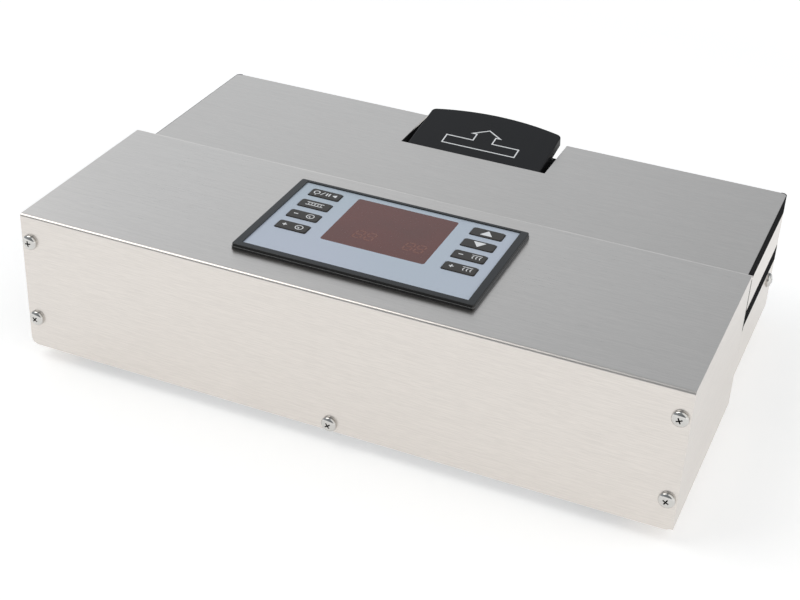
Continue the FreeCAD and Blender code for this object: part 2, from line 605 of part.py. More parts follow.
def make_lid():
    """Top plate, black frame, inner pan and steel skirt."""
    plate = body("lid_top_plate")
    pad(plate, "z", ("lid_top - skin", "lid_top"), (
        rectangle, both("plate_half"), ("inner_front", "plate_rear")))
    fillet(plate, "lid_corner - rim", "z", ("plate_half", "inner_front"), ("-plate_half", "inner_front"))
    pad(plate, "y", ("front_y", "inner_front"), (
        rectangle, both("inner_half - lid_corner"), ("band_z + skin", "lid_top")))
    fillet(plate, "lid_bend", "x", ("front_y", "lid_top"))
    pocket(plate, "z", ("band_z", "lid_top"), (
        rectangle, both("notch_half"), ("front_y - lid_corner", "notch_y")))
    node(plate, "lid_top_plate")

    frame = body("lid_frame")
    under = "lid_top - skin"
    pad(frame, "x", both("front_half"), (rectangle, ("inner_front", "lid_rear"), ("band_z", "lid_top")))
    pad(frame, "z", ("band_z", "lid_top"), (rectangle, both("front_half"), ("front_y", "inner_front")))
    fillet(frame, "lid_corner", "z", ("front_half", "front_y"), ("-front_half", "front_y"))
    fillet(frame, "knuckle", "x", ("lid_rear", "lid_top"))
    pocket(frame, "z", (under, "lid_top"), (
        rounded, both("plate_half"), ("inner_front", "plate_rear"), "lid_corner - rim"))
    pocket(frame, "z", (under, "lid_top"), (
        rectangle, both("plate_half"), ("plate_rear - 2*lid_corner", "plate_rear")))
    pocket(frame, "z", ("band_z + skin", "lid_top"), (
        rectangle, both("inner_half - lid_corner"), ("front_y - lid_corner", "inner_front")))
    pocket(frame, "z", ("band_z + notch_floor", "lid_top"), (
        rectangle, both("notch_half"), ("front_y - lid_corner", "notch_y")))
    well = "notch_half + lid_wall"
    rear_block = "hinge_y - arm_front - lid_wall"
    pocket(frame, "z", ("band_z", f"{under} - lid_roof"),
           (rectangle, ("-(inner_half - lid_wall)", f"-({well})"), ("inner_front + lid_wall", rear_block)),
           (rectangle, (well, "inner_half - lid_wall"), ("inner_front + lid_wall", rear_block)),
           (rectangle, both(f"{well} - 2*lid_wall"), ("notch_y + lid_wall", rear_block)))
    arms = [(rectangle, around(side(sign, "arm_across"), "arm_thick/2 + arm_slack"),
             ("hinge_y - arm_front", "lid_rear + fit")) for sign in (-1, 1)]
    pocket(frame, "z", ("band_z", under), *arms)
    throats = [(rectangle, around(side(sign, "arm_across"), "arm_thick/2 + arm_slack"),
                ("plate_rear", "lid_rear + fit")) for sign in (-1, 1)]
    pocket(frame, "z", ("band_z", "lid_top"), *throats)
    for sign in (-1, 1):
        reach = "arm_thick/2 + arm_slack + pin_wall"
        pocket(frame, "x", around(side(sign, "arm_across"), reach), (
            disc, "hinge_y", "hinge_z", "pin_radius"))
    pocket(frame, "x", both(well), (disc, "pivot_y", "pivot_z", "handle_pin"))
    node(frame, "lid_frame")

    pan = body("lid_pan")
    pad(pan, "z", ("pan_low", "band_z"), (rectangle, both("inner_half"), ("inner_front", "lid_rear")))
    fillet(pan, "lid_corner - skin", "z", ("inner_half", "inner_front"), ("-inner_half", "inner_front"))
    fillet(pan, "lid_wall", "x", ("lid_rear", "pan_low"))
    pocket(pan, "z", ("pan_low + pan_floor", "band_z"), (
        rectangle, both("inner_half - lid_wall"), ("inner_front + lid_wall", "lid_rear - lid_wall")))
    pocket(pan, "z", ("pan_low - pan_raise", "pan_low + lid_groove"), *ring_outlines())
    pocket(pan, "z", ("pan_low - pan_raise", "pan_low + lid_groove"), (
        rectangle, both("seal_half"), around("seal_y", "strip_wide/2")))
    node(pan, "lid_pan")

    skirt = body("lid_skirt")
    pad(skirt, "z", ("lid_low", "band_z"), (rectangle, both("front_half"), ("front_y", "hinge_y")))
    fillet(skirt, "lid_corner", "z", ("front_half", "front_y"), ("-front_half", "front_y"))
    pocket(skirt, "z", ("lid_low", "band_z"), (
        rounded, both("inner_half"), ("inner_front", "hinge_y + 4*lid_corner"), "lid_corner - skin"))
    node(skirt, "lid_skirt")

    gasket = body("upper_gasket")
    pad(gasket, "z", ("deck_top + gasket_proud + strip_gap", "pan_low + lid_groove"), *ring_outlines())
    node(gasket, "upper_gasket")
    node(box("pressure_strip", both("seal_half"), around("seal_y", "strip_wide/2"),
             ("tape_top + strip_gap", "pan_low + lid_groove")), "pressure_strip")


def make_hinge():
    """Two arms welded inside the front wall, and the two pins fixed in the lid frame."""
    arms = []
    pins = []
    for i, sign in enumerate((-1, 1)):
        middle = side(sign, "arm_across")
        across = around(middle, "arm_thick/2")
        inside = "step_y + sheet + arm_plate"
        eye = rod(f"arm_eye_{i}", "x", ("hinge_y", "hinge_z"), across, "arm_eye")
        bar = box(f"arm_bar_{i}", across, ("hinge_y", inside), ("hinge_z - arm_eye", "hinge_z"))
        plate = box(f"arm_plate_{i}", around(middle, "arm_plate_half"), ("step_y + sheet", inside),
                    ("hinge_z - arm_eye - arm_plate_low", "hinge_z + arm_plate_high"))
        bore = rod(f"arm_bore_{i}", "x", ("hinge_y", "hinge_z"), across, "pin_radius + pin_slack")
        arms.append(cut(f"arm_{i}", fuse(f"arm_blank_{i}", eye, bar, plate), bore))
        reach = "arm_thick/2 + arm_slack + pin_wall"
        pins.append(rod(f"hinge_pin_{i}", "x", ("hinge_y", "hinge_z"), around(middle, reach), "pin_radius"))
    node(group("hinge_arms", *arms), "hinge_arms")
    node(group("hinge_pins", *pins), "hinge_pins")


def make_press_handle():
    """Sprung paddle in the lid's notch, drawn flush about its pivot and then tilted up."""
    paddle = body("press_handle")
    back = "handle_boss"
    front = "pivot_y - front_y"
    face = "handle_pivot_drop"
    pad(paddle, "z", (f"{face} - handle_thick", face), (
        rectangle, both("handle_half"), (f"-({front})", back)))
    lip = f"{face} - handle_thick"
    pad(paddle, "z", (f"{lip} - handle_lip_deep", lip), (
        rectangle, both("handle_half - handle_lip"), (f"-({front})", f"handle_lip - ({front})")))
    sketch = sketch_at(paddle, "z", f"{face} - handle_thick")
    bow_outline(sketch, f"-({front})")
    bow = paddle.newObject("PartDesign::Pad", "press_handle_bow")
    bow.Profile = sketch
    bind(bow, Length="handle_thick")
    pocket(paddle, "x", both("handle_half"), (disc, "0", "0", "handle_pin + pin_slack"))
    paddle.Placement = Placement(Vector(), Rotation(Vector(-1, 0, 0), 1))
    bind(paddle, Placement__Base__y="pivot_y", Placement__Base__z="pivot_z",
         Placement__Rotation__Angle="handle_tilt")
    node(paddle, "press_handle")
    pin_span = both("notch_half + lid_wall")
    node(rod("handle_pin_rod", "x", ("pivot_y", "pivot_z"), pin_span, "handle_pin"), "handle_pin")


def bow_outline(sketch, chord):
    """Segment between the paddle's front corners and its bowed front edge."""
    width = number("handle_half")
    level = number(chord)
    peak = level - number("handle_bow")
    start, middle, end = Vector(-width, level, 0), Vector(0, peak, 0), Vector(width, level, 0)
    arc = sketch.addGeometry(Part.Arc(start, middle, end))
    line = sketch.addGeometry(Part.LineSegment(end, start))
    first, last = (1, 2) if sketch.getPoint(arc, 1).distanceToPoint(start) < 1 else (2, 1)
    sketch.addConstraint(Sketcher.Constraint("Coincident", arc, last, line, 1))
    sketch.addConstraint(Sketcher.Constraint("Coincident", arc, first, line, 2))
    for point, text in ((1, "handle_half"), (2, "-handle_half")):
        fix(sketch, "DistanceX", line, point, text)
        fix(sketch, "DistanceY", line, point, chord)
    index = sketch.addConstraint(Sketcher.Constraint("Radius", arc, sketch.Geometry[arc].Radius))
    sketch.setExpression(f"Constraints[{index}]", formula("(handle_half^2 + handle_bow^2)/(2*handle_bow)"))


def make_handle_spring():
    """Two leaf springs on the notch floor that push the paddle up."""
    low = "band_z + notch_floor"
    slope = "handle_tilt*1deg"
    tip = (f"pivot_z + spring_reach*sin({slope}) - (handle_thick - handle_pivot_drop)*cos({slope})"
           " - fit - spring_thick")
    leaves = []
    for i, sign in enumerate((-1, 1)):
        leaf = body(f"spring_leaf_{i}")
        root, knee, end = "pivot_y - spring_root", "pivot_y - spring_knee", "pivot_y - spring_reach"
        pad(leaf, "x", around(side(sign, "spring_across"), "spring_wide/2"), (polygon, [
            (root, low), (knee, low), (end, tip), (end, f"{tip} + spring_thick"),
            (f"{knee} + spring_thick", f"{low} + spring_thick"), (root, f"{low} + spring_thick")]))
        leaves.append(leaf)
    node(group("handle_springs", *leaves), "handle_springs")


# Control panel

KEYS = {
    -1: ("key_down", "key_up", "key_vacuum_less", "key_vacuum_more"),
    1: ("key_start", "key_seal", "key_seal_less", "key_seal_more"),
}


def key_outline(sign, row, slack):
    """Outline of one key or of the hole round it."""
    middle_y = f"(panel_front + key_first + {row}*key_pitch)"
    return (rounded, around(side(sign, "key_across"), f"key_wide/2{slack}"),
            around(middle_y, f"key_deep/2{slack}"), "key_corner")


def make_panel():
    """Bezel with its floor and posts, printed overlay, window and the eight keys."""
    key_holes = [key_outline(sign, row, " + fit") for sign in KEYS for row in range(len(KEYS[sign]))]
    window = (both("display_half"), ("display_y", "display_back"))
    opening = (both("display_half - display_ledge"),
               ("display_y + display_ledge", "display_back - display_ledge"))
    bezel = body("control_bezel")
    pad(bezel, "z", ("top_z", "panel_top"), (
        rounded, both("panel_width/2"), ("panel_front", "panel_back"), "panel_corner"))
    for sign in (-1, 1):
        for spot in ("panel_front + key_first + key_pitch/2", "panel_back - post_rear"):
            pad(bezel, "z", ("board_top", "top_z"), (disc, side(sign, "post_across"), spot, "post_radius"))
    pocket(bezel, "z", ("seat_z", "panel_top"), (
        rectangle, both("overlay_x"), ("overlay_front", "overlay_back")))
    pocket(bezel, "z", ("top_z", "seat_z"), (rectangle, *opening), *key_holes)
    node(bezel, "control_bezel")

    overlay = body("control_overlay")
    pad(overlay, "z", ("seat_z", "overlay_top"), (
        rectangle, both("overlay_x"), ("overlay_front", "overlay_back")))
    pocket(overlay, "z", ("seat_z", "overlay_top"), (rectangle, *window), *key_holes)
    node(overlay, "control_overlay")
    node(box("display_window", *window, ("seat_z", "overlay_top")), "display_window")

    for sign, labels in KEYS.items():
        for row, label in enumerate(labels):
            key = body(label)
            pad(key, "z", ("key_low", "overlay_top + key_proud"), key_outline(sign, row, ""))
            node(key, label)


def make_display_board():
    """Board on the bezel's posts, with the digit display and one switch under each key."""
    inset = "2*display_ledge"
    block = box("digit_display", both(f"display_half - {inset}"),
                (f"display_y + {inset}", f"display_back - {inset}"), ("board_top", "seat_z - fit"))
    node(block, "digit_display")
    card_x = both("panel_width/2 - cutout_ledge - board_side")
    card_y = ("panel_front + board_edge", "panel_back - board_edge")
    pieces = [box("display_card", card_x, card_y, ("board_top - board_thick", "board_top"))]
    for sign in KEYS:
        for row in range(len(KEYS[sign])):
            middle_y = f"(panel_front + key_first + {row}*key_pitch)"
            pieces.append(box(f"tact_{sign + 1}_{row}", around(side(sign, "key_across"), "tact_side/2"),
                              around(middle_y, "tact_side/2"),
                              ("board_top", "key_low - key_travel - tact_slack")))
    node(group("display_board", *pieces), "display_board")


# Vacuum pump

def make_pump():
    """Motor and pump head on a rubber-mounted base plate; the fan and shaft turn together."""
    axis = ("pump_y", "pump_height")
    plate_low = "floor_z + base_lift"
    plate_top = "floor_z + base_lift + base_plate"
    shaft = ("-(motor_outer + shaft_tail)", "-(motor_inner - shaft_nose)")
    motor = rod("motor_can", "x", axis, ("-motor_outer", "-motor_inner"), "motor_radius")
    bore = rod("motor_bore", "x", axis, shaft, "shaft_radius + shaft_slack")
    node(cut("pump_motor", motor, bore), "pump_motor")

    head_low = "motor_inner - head_long"
    casting = box("head_block", ("-motor_inner", f"-({head_low})"), around("pump_y", "head_wide/2"),
                  (plate_top, f"{plate_top} + head_tall"))
    inlet = rod("head_inlet", "y", ("-inlet_across", "port_elbow"),
                ("pump_y - head_wide/2 - barb_reach", "pump_y - head_wide/2"), "port_stem")
    bore = rod("head_bore", "x", axis, ("-motor_inner", "-(motor_inner - shaft_nose - fit)"),
               "shaft_radius + shaft_slack")
    node(cut("pump_head", fuse("head_cast", casting, inlet), bore), "pump_head")

    fan = ("-(motor_outer + fan_gap + fan_wide)", "-(motor_outer + fan_gap)")
    blades = []
    for i in range(3):
        turn = 60 * i
        blade = box(f"fan_blade_{i}", fan, ("0", "2*fan_radius"), ("0", "blade_thick"))
        blade.Placement = Placement(Vector(), Rotation(Vector(1, 0, 0), turn))
        bind(blade, Placement__Base__y=f"pump_y - fan_radius*cos({turn}deg) + blade_thick/2*sin({turn}deg)",
             Placement__Base__z=f"pump_height - fan_radius*sin({turn}deg) - blade_thick/2*cos({turn}deg)")
        blades.append(blade)
    node(fuse("pump_rotor", rod("rotor_shaft", "x", axis, shaft, "shaft_radius"),
              rod("fan_hub_disc", "x", axis, fan, "fan_hub"), *blades), "pump_rotor")

    outer = "motor_outer + base_margin"
    span_y = around("pump_y", "head_wide/2 + base_margin/2")
    span_x = (f"-({outer})", f"-({head_low} - base_margin/2)")
    plate = box("pump_plate", span_x, span_y, (plate_low, plate_top))
    saddles = []
    for i, spot in enumerate(("-(motor_outer - saddle_inset)", "-(motor_inner + saddle_inset)")):
        block = box(f"saddle_block_{i}", around(spot, "saddle_thick/2"), around("pump_y", "saddle_half"),
                    (plate_low, "pump_height"))
        saddles.append(cut(f"saddle_{i}", block, rod(f"saddle_seat_{i}", "x", axis,
                                                     around(spot, "saddle_thick"), "motor_radius")))
    node(fuse("pump_base", plate, *saddles), "pump_base")
    grommets = []
    for i, spot_x in enumerate((f"-({outer} - grommet_inset)", f"-({head_low} + grommet_inset)")):
        for k, spot_y in enumerate(span_y):
            place = (spot_x, f"{spot_y} {'-+'[k == 0]} grommet_inset")
            grommets.append(rod(f"grommet_{i}_{k}", "z", place, ("floor_z", plate_low), "grommet_radius"))
    node(group("pump_grommets", *grommets), "pump_grommets")


def sweep_tube(points, bend, outer, inner):
    """Hollow tube along straight runs joined by tangent arcs, in one level plane."""
    spots = [Vector(*[number(text) for text in point]) for point in points]
    edges = []
    start = spots[0]
    for before, corner_point, after in zip(spots, spots[1:], spots[2:]):
        way_in = (corner_point - before).normalize()
        way_out = (after - corner_point).normalize()
        first = corner_point - way_in * bend
        last = corner_point + way_out * bend
        middle = corner_point + (way_out - way_in) * bend * (1 - 0.5 ** 0.5)
        edges.append(Part.LineSegment(start, first).toShape())
        edges.append(Part.Arc(first, middle, last).toShape())
        start = last
    edges.append(Part.LineSegment(start, spots[-1]).toShape())
    path = Part.Wire(edges)
    way = (spots[1] - spots[0]).normalize()
    tubes = [path.makePipeShell([Part.Wire(Part.makeCircle(radius, spots[0], way))], True, False)
             for radius in (outer, inner)]
    return tubes[0].cut(tubes[1])


def make_hoses():
    """Hose from the suction port to the pump, and the short sleeve over the release port and valve."""
    inner = number("port_stem + hose_slack")
    level = "port_elbow"
    cross = "step_y - hose_bend/2"
    route = [("port_across", "trough_mid + port_stem + fit", level), ("port_across", cross, level),
             ("-inlet_across", cross, level), ("-inlet_across", "pump_y - head_wide/2 - fit", level)]
    hose = doc.addObject("Part::Feature", "suction_hose")
    hose.Shape = sweep_tube(route, number("hose_bend"), inner + number("hose_wall"), inner)
    spot = ("-valve_across", "trough_mid")
    span = ("floor_z + valve_tall + sleeve_low", "trough_low - deck_wall - fit")
    sleeve = cut("release_sleeve", rod("sleeve_outer", "z", spot, span, "port_stem + hose_slack + hose_wall"),
                 rod("sleeve_inner", "z", spot, span, "port_stem + hose_slack"))
    node(group("vacuum_hoses", hose, sleeve), "vacuum_hoses")


# Transformer, power board and release valve

def make_transformer():
    """Laminated core with two windows, the winding on its middle leg, and a strap to the pan."""
    span_x = ("core_inner", "core_inner + core_long")
    span_y = ("step_y + core_front", "step_y + core_front + core_stack")
    span_z = ("floor_z", "floor_z + core_tall")
    window_z = ("floor_z + core_yoke", "floor_z + core_tall - core_yoke")
    left = ("core_inner + core_leg", "core_inner + core_leg + core_window")
    right = ("core_inner + core_long - core_leg - core_window", "core_inner + core_long - core_leg")
    block = box("core_block", span_x, span_y, span_z)
    node(cut("transformer_core", block, box("core_window_left", left, span_y, window_z),
             box("core_window_right", right, span_y, window_z)), "transformer_core")
    slack = "coil_slack"
    coil = box("coil_block", (f"{left[0]} + {slack}", f"{right[1]} - {slack}"),
               (f"{span_y[0]} - coil_over", f"{span_y[1]} + coil_over"),
               (f"{window_z[0]} + {slack}", f"{window_z[1]} - {slack}"))
    leg = box("coil_leg", (f"{left[1]} - {slack}", f"{right[0]} + {slack}"),
              (f"{span_y[0]} - {slack}", f"{span_y[1]} + {slack}"), window_z)
    node(cut("transformer_winding", coil, leg), "transformer_winding")
    middle_y = around("(step_y + core_front + core_stack/2)", "strap_wide/2")
    hoop = box("strap_hoop", (f"{span_x[0]} - strap_thick", f"{span_x[1]} + strap_thick"), middle_y,
               (span_z[0], f"{span_z[1]} + strap_thick"))
    foot = box("strap_feet", (f"{span_x[0]} - strap_foot", f"{span_x[1]} + strap_foot"), middle_y,
               (span_z[0], f"{span_z[0]} + strap_thick"))
    inside = box("strap_inside", span_x, middle_y, span_z)
    node(cut("transformer_strap", fuse("strap_blank", hoop, foot), inside), "transformer_strap")


def make_power_board():
    """Board on standoffs, with relays, capacitors and a finned heat sink."""
    span_x = ("-power_left", "power_right")
    span_y = ("step_y + power_front", "rear_y - power_rear")
    low = "floor_z + power_lift"
    top = f"{low} + board_thick"
    node(box("power_board", span_x, span_y, (low, top)), "power_board")
    legs = []
    for i, spot_x in enumerate((f"{span_x[0]} + standoff_inset", f"{span_x[1]} - standoff_inset")):
        for k, spot_y in enumerate((f"{span_y[0]} + standoff_inset", f"{span_y[1]} - standoff_inset")):
            legs.append(rod(f"standoff_{i}_{k}", "z", (spot_x, spot_y), ("floor_z", low), "standoff_radius"))
    node(group("board_standoffs", *legs), "board_standoffs")
    sink_x = ("-power_left + sink_left", "-power_left + sink_left + sink_long")
    sink_y = (f"{span_y[1]} - sink_rear - sink_deep", f"{span_y[1]} - sink_rear")
    relay_y = (f"{sink_y[0]} - relay_clear - relay_wide", f"{sink_y[0]} - relay_clear")
    pieces = []
    for i in range(2):
        start = f"-power_left + relay_left + {i}*(relay_long + relay_gap)"
        relay_x = (start, f"{start} + relay_long")
        pieces.append(box(f"relay_{i}", relay_x, relay_y, (top, f"{top} + relay_tall")))
    for i in range(3):
        place = ("power_right - can_right", f"{span_y[0]} + can_front + {i}*can_pitch")
        pieces.append(rod(f"capacitor_{i}", "z", place, (top, f"{top} + can_tall"), "can_radius"))
    node(group("board_components", *pieces), "board_components")
    slots = []
    for i in range(3):
        gap_y = (f"{sink_y[0]} + {i}*sink_pitch + sink_fin", f"{sink_y[0]} + {i + 1}*sink_pitch")
        slots.append(box(f"sink_slot_{i}", sink_x, gap_y, (f"{top} + sink_base", f"{top} + sink_tall")))
    block = box("sink_block", sink_x, sink_y, (top, f"{top} + sink_tall"))
    node(cut("heat_sink", block, *slots), "heat_sink")


def make_release_valve():
    """Solenoid valve that lets air back into the trough."""
    block = box("valve_block", around("-valve_across", "valve_half"), around("trough_mid", "valve_half"),
                ("floor_z", "floor_z + valve_tall"))
    barb = rod("valve_barb_pipe", "z", ("-valve_across", "trough_mid"),
               ("floor_z + valve_tall", "floor_z + valve_tall + valve_barb"), "port_stem")
    axis = ("trough_mid", "floor_z + coil_radius + fit")
    face = "-valve_across + valve_half"
    end = f"{face} + coil_long"
    room = f"{end} - plug_in - plug_travel - plug_room"
    coil = cut("valve_coil", rod("coil_can", "x", axis, (face, end), "coil_radius"),
               rod("coil_bore", "x", axis, (room, end), "plug_radius + plug_slack"))
    node(group("release_valve", fuse("valve_body", block, barb), coil), "release_valve")
    plug = rod("valve_plug", "x", axis, (f"{end} - plug_in", f"{end} + plug_out"), "plug_radius")
    node(plug, "valve_plunger")


# Mains inlet and rocker switch, in the right side panel

def make_mains():
    """Mains inlet with three blades, and the rocker switch above it."""
    shell = box("inlet_case", ("half - inlet_deep", "half"), around("inlet_y", "inlet_half"),
                around("inlet_height", "inlet_rise"))
    ears = box("inlet_ears", ("half - sheet - inlet_plate", "half - sheet"),
               around("inlet_y", "inlet_half + inlet_ear"), around("inlet_height", "inlet_rise + inlet_wall"))
    socket = box("inlet_socket", ("half - socket_deep", "half"), around("inlet_y", "inlet_half - inlet_wall"),
                 around("inlet_height", "inlet_rise - inlet_wall"))
    node(cut("mains_inlet", fuse("inlet_blank", shell, ears), socket), "mains_inlet")
    blades = []
    for i, (across, rise) in enumerate(((-1, 1), (0, -1), (1, 1))):
        blades.append(box(f"blade_{i}", ("half - socket_deep", "half - socket_deep + blade_long"),
                          around(f"(inlet_y + {across}*blade_spread)", "blade_thin/2"),
                          around(f"(inlet_height + {rise}*blade_offset)", "blade_wide/2")))
    node(group("inlet_blades", *blades), "inlet_blades")

    case = box("rocker_case", ("half - rocker_deep", "half"), around("inlet_y", "rocker_half"),
               around("rocker_height", "rocker_rise"))
    ears = box("rocker_ears", ("half - sheet - rocker_plate", "half - sheet"),
               around("inlet_y", "rocker_half + rocker_ear"),
               around("rocker_height", "rocker_rise + rocker_wall"))
    cavity = box("rocker_room", ("half - rocker_cavity", "half"),
                 around("inlet_y", "rocker_half - rocker_wall"),
                 around("rocker_height", "rocker_rise - rocker_wall"))
    sockets = rod("rocker_sockets", "z", ("half - rocker_pivot", "inlet_y"),
                  around("rocker_height", "rocker_rise - rocker_wall + trunnion_long"),
                  "trunnion + pin_slack")
    node(cut("switch_housing", fuse("rocker_blank", case, ears), cavity, sockets), "switch_housing")

    rocker = body("power_rocker")
    reach = "rocker_half - rocker_wall - rocker_gap"
    wide = "rocker_rise - rocker_wall - rocker_side_gap"
    pad(rocker, "z", both(wide), (polygon, [
        ("-rocker_foot", f"-({reach})"), ("rocker_peak", f"-({reach})"), ("rocker_valley", "0"),
        ("rocker_peak", reach), ("-rocker_foot", reach)]))
    pad(rocker, "z", both(f"{wide} + trunnion_long"), (disc, "0", "0", "trunnion"))
    rocker.Placement = Placement(Vector(), Rotation(Vector(0, 0, 1), 1))
    bind(rocker, Placement__Base__x="half - rocker_pivot", Placement__Base__y="inlet_y",
         Placement__Base__z="rocker_height", Placement__Rotation__Angle="rocker_tilt")
    node(rocker, "power_rocker")


def build():
    """Make every sub-part, check the document, and write one file for each."""
    make_rear_cover()
    make_side_panel("left_side_panel", -1)
    make_side_panel("right_side_panel", 1)
    make_front_shell()
    make_chassis()
    make_deck()
    make_sealing_bar()
    make_ports()
    make_lid_switch()
    make_lid()
    make_hinge()
    make_press_handle()
    make_handle_spring()
    make_panel()
    make_display_board()
    make_pump()
    make_hoses()
    make_transformer()
    make_power_board()
    make_release_valve()
    make_mains()
    doc.recompute()

    for item in doc.Objects:
        if "Invalid" in item.State or "Error" in item.State:
            raise RuntimeError(f"{item.Label} failed")
        if item.TypeId == "PartDesign::Pocket" and item.Shape.Volume >= item.BaseFeature.Shape.Volume:
            raise RuntimeError(f"{item.Label} cuts nothing")
    for item in nodes:
        if item.Shape.isNull() or not item.Shape.isValid():
            raise RuntimeError(f"{item.Label} has no sound shape")
    os.makedirs("parts", exist_ok=True)
    for item in nodes:
        item.Shape.exportStep(f"parts/{item.Label}.step")
    print(f"{len(nodes)} sub-parts")


build()
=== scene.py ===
import logging
import math
from dataclasses import dataclass
from enum import Enum
from typing import Callable, Dict, Sequence, Tuple, Union

import bmesh
import bpy
from bmesh.types import BMEdge, BMesh, BMVert
from bpy.types import Material, MeshPolygon, Node, NodeSocket, NodeTree, Object
from mathutils import Matrix, Vector


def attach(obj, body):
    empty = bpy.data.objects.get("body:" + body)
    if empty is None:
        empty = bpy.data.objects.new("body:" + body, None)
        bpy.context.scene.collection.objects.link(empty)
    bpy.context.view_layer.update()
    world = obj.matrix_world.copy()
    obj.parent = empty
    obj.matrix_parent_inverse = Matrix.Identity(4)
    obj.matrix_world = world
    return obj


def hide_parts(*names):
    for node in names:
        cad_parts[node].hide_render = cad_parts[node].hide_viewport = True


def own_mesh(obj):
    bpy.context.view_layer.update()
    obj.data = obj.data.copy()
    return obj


Colour = Tuple[float, float, float]
Point = Tuple[float, float, float]
Spot = Tuple[float, float]
Inputs = Dict[Union[str, int], Union[NodeSocket, float, Sequence[float]]]

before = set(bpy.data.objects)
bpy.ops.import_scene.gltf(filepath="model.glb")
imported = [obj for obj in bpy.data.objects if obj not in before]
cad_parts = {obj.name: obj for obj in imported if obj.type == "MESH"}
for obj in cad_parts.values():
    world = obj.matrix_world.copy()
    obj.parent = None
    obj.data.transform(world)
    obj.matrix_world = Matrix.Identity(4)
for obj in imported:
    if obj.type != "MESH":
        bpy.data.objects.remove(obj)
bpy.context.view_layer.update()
LOG = logging.getLogger("vacuum_sealer")

# Distances at which corners merge or count as on a plane, and the angle in degrees that counts as flat
MERGE = 2e-6
TOUCH = 1e-5
FLAT = 0.4

# Thickness of a print and its three line widths
PRINT = 0.00004
LINE = 0.0008
MEDIUM = LINE * 0.8
FINE = LINE * 0.7


# Shader nodes and finishes

def shade(colour: Colour, share: float) -> Colour:
    """A colour made darker or lighter by a share."""
    return tuple(min(1.0, level * share) for level in colour)


def tint(colour: Colour, shares: Colour) -> Colour:
    """A colour with each of its parts times a share of its own."""
    return tuple(level * share for level, share in zip(colour, shares))


class NodeBench:
    """Short calls that add and join the nodes of one tree."""

    def __init__(self, tree: NodeTree) -> None:
        """Keep the tree that the calls work on."""
        self.tree = tree

    def feed(self, node: Node, inputs: Inputs) -> None:
        """Give the inputs of a node what they take.

        Args:
            node: Node of the tree.
            inputs: For each input, a socket to join it to or a plain value.
        """
        for name, value in inputs.items():
            if isinstance(value, NodeSocket):
                self.tree.links.new(value, node.inputs[name])
            else:
                node.inputs[name].default_value = value

    def add(self, kind: str, inputs: Inputs, **settings: str) -> Node:
        """Add a node, set it up and feed it.

        Args:
            kind: Kind of the node.
            inputs: What its inputs take.
            settings: Values of its properties.

        Returns:
            The node.
        """
        node = self.tree.nodes.new(f"ShaderNode{kind}")
        for name, value in settings.items():
            setattr(node, name, value)
        self.feed(node, inputs)
        return node

    def spread(self, value: NodeSocket, low: float, high: float, span: Spot = (0.0, 1.0)) -> NodeSocket:
        """A value moved from its span to the range between low and high."""
        ends = {"From Min": span[0], "From Max": span[1], "To Min": low, "To Max": high}
        return self.add("MapRange", {"Value": value, **ends}).outputs["Result"]

    def combine(self, kind: str, first: NodeSocket, second: NodeSocket) -> NodeSocket:
        """Two values put through the operation of a name."""
        return self.add("Math", {0: first, 1: second}, operation=kind).outputs["Value"]

    def ramp(self, factor: NodeSocket, stops: Sequence[Tuple[float, Colour]]) -> NodeSocket:
        """Run through colours as a factor rises.

        Args:
            factor: Value that drives the colour.
            stops: Place and colour of each stop, in rising order.

        Returns:
            The colour.
        """
        node = self.add("ValToRGB", {"Fac": factor})
        marks = node.color_ramp.elements
        for place, _ in stops[1:-1]:
            marks.new(place)
        for mark, (place, colour) in zip(marks, stops):
            mark.position = place
            mark.color = (*colour, 1.0)
        return node.outputs["Color"]


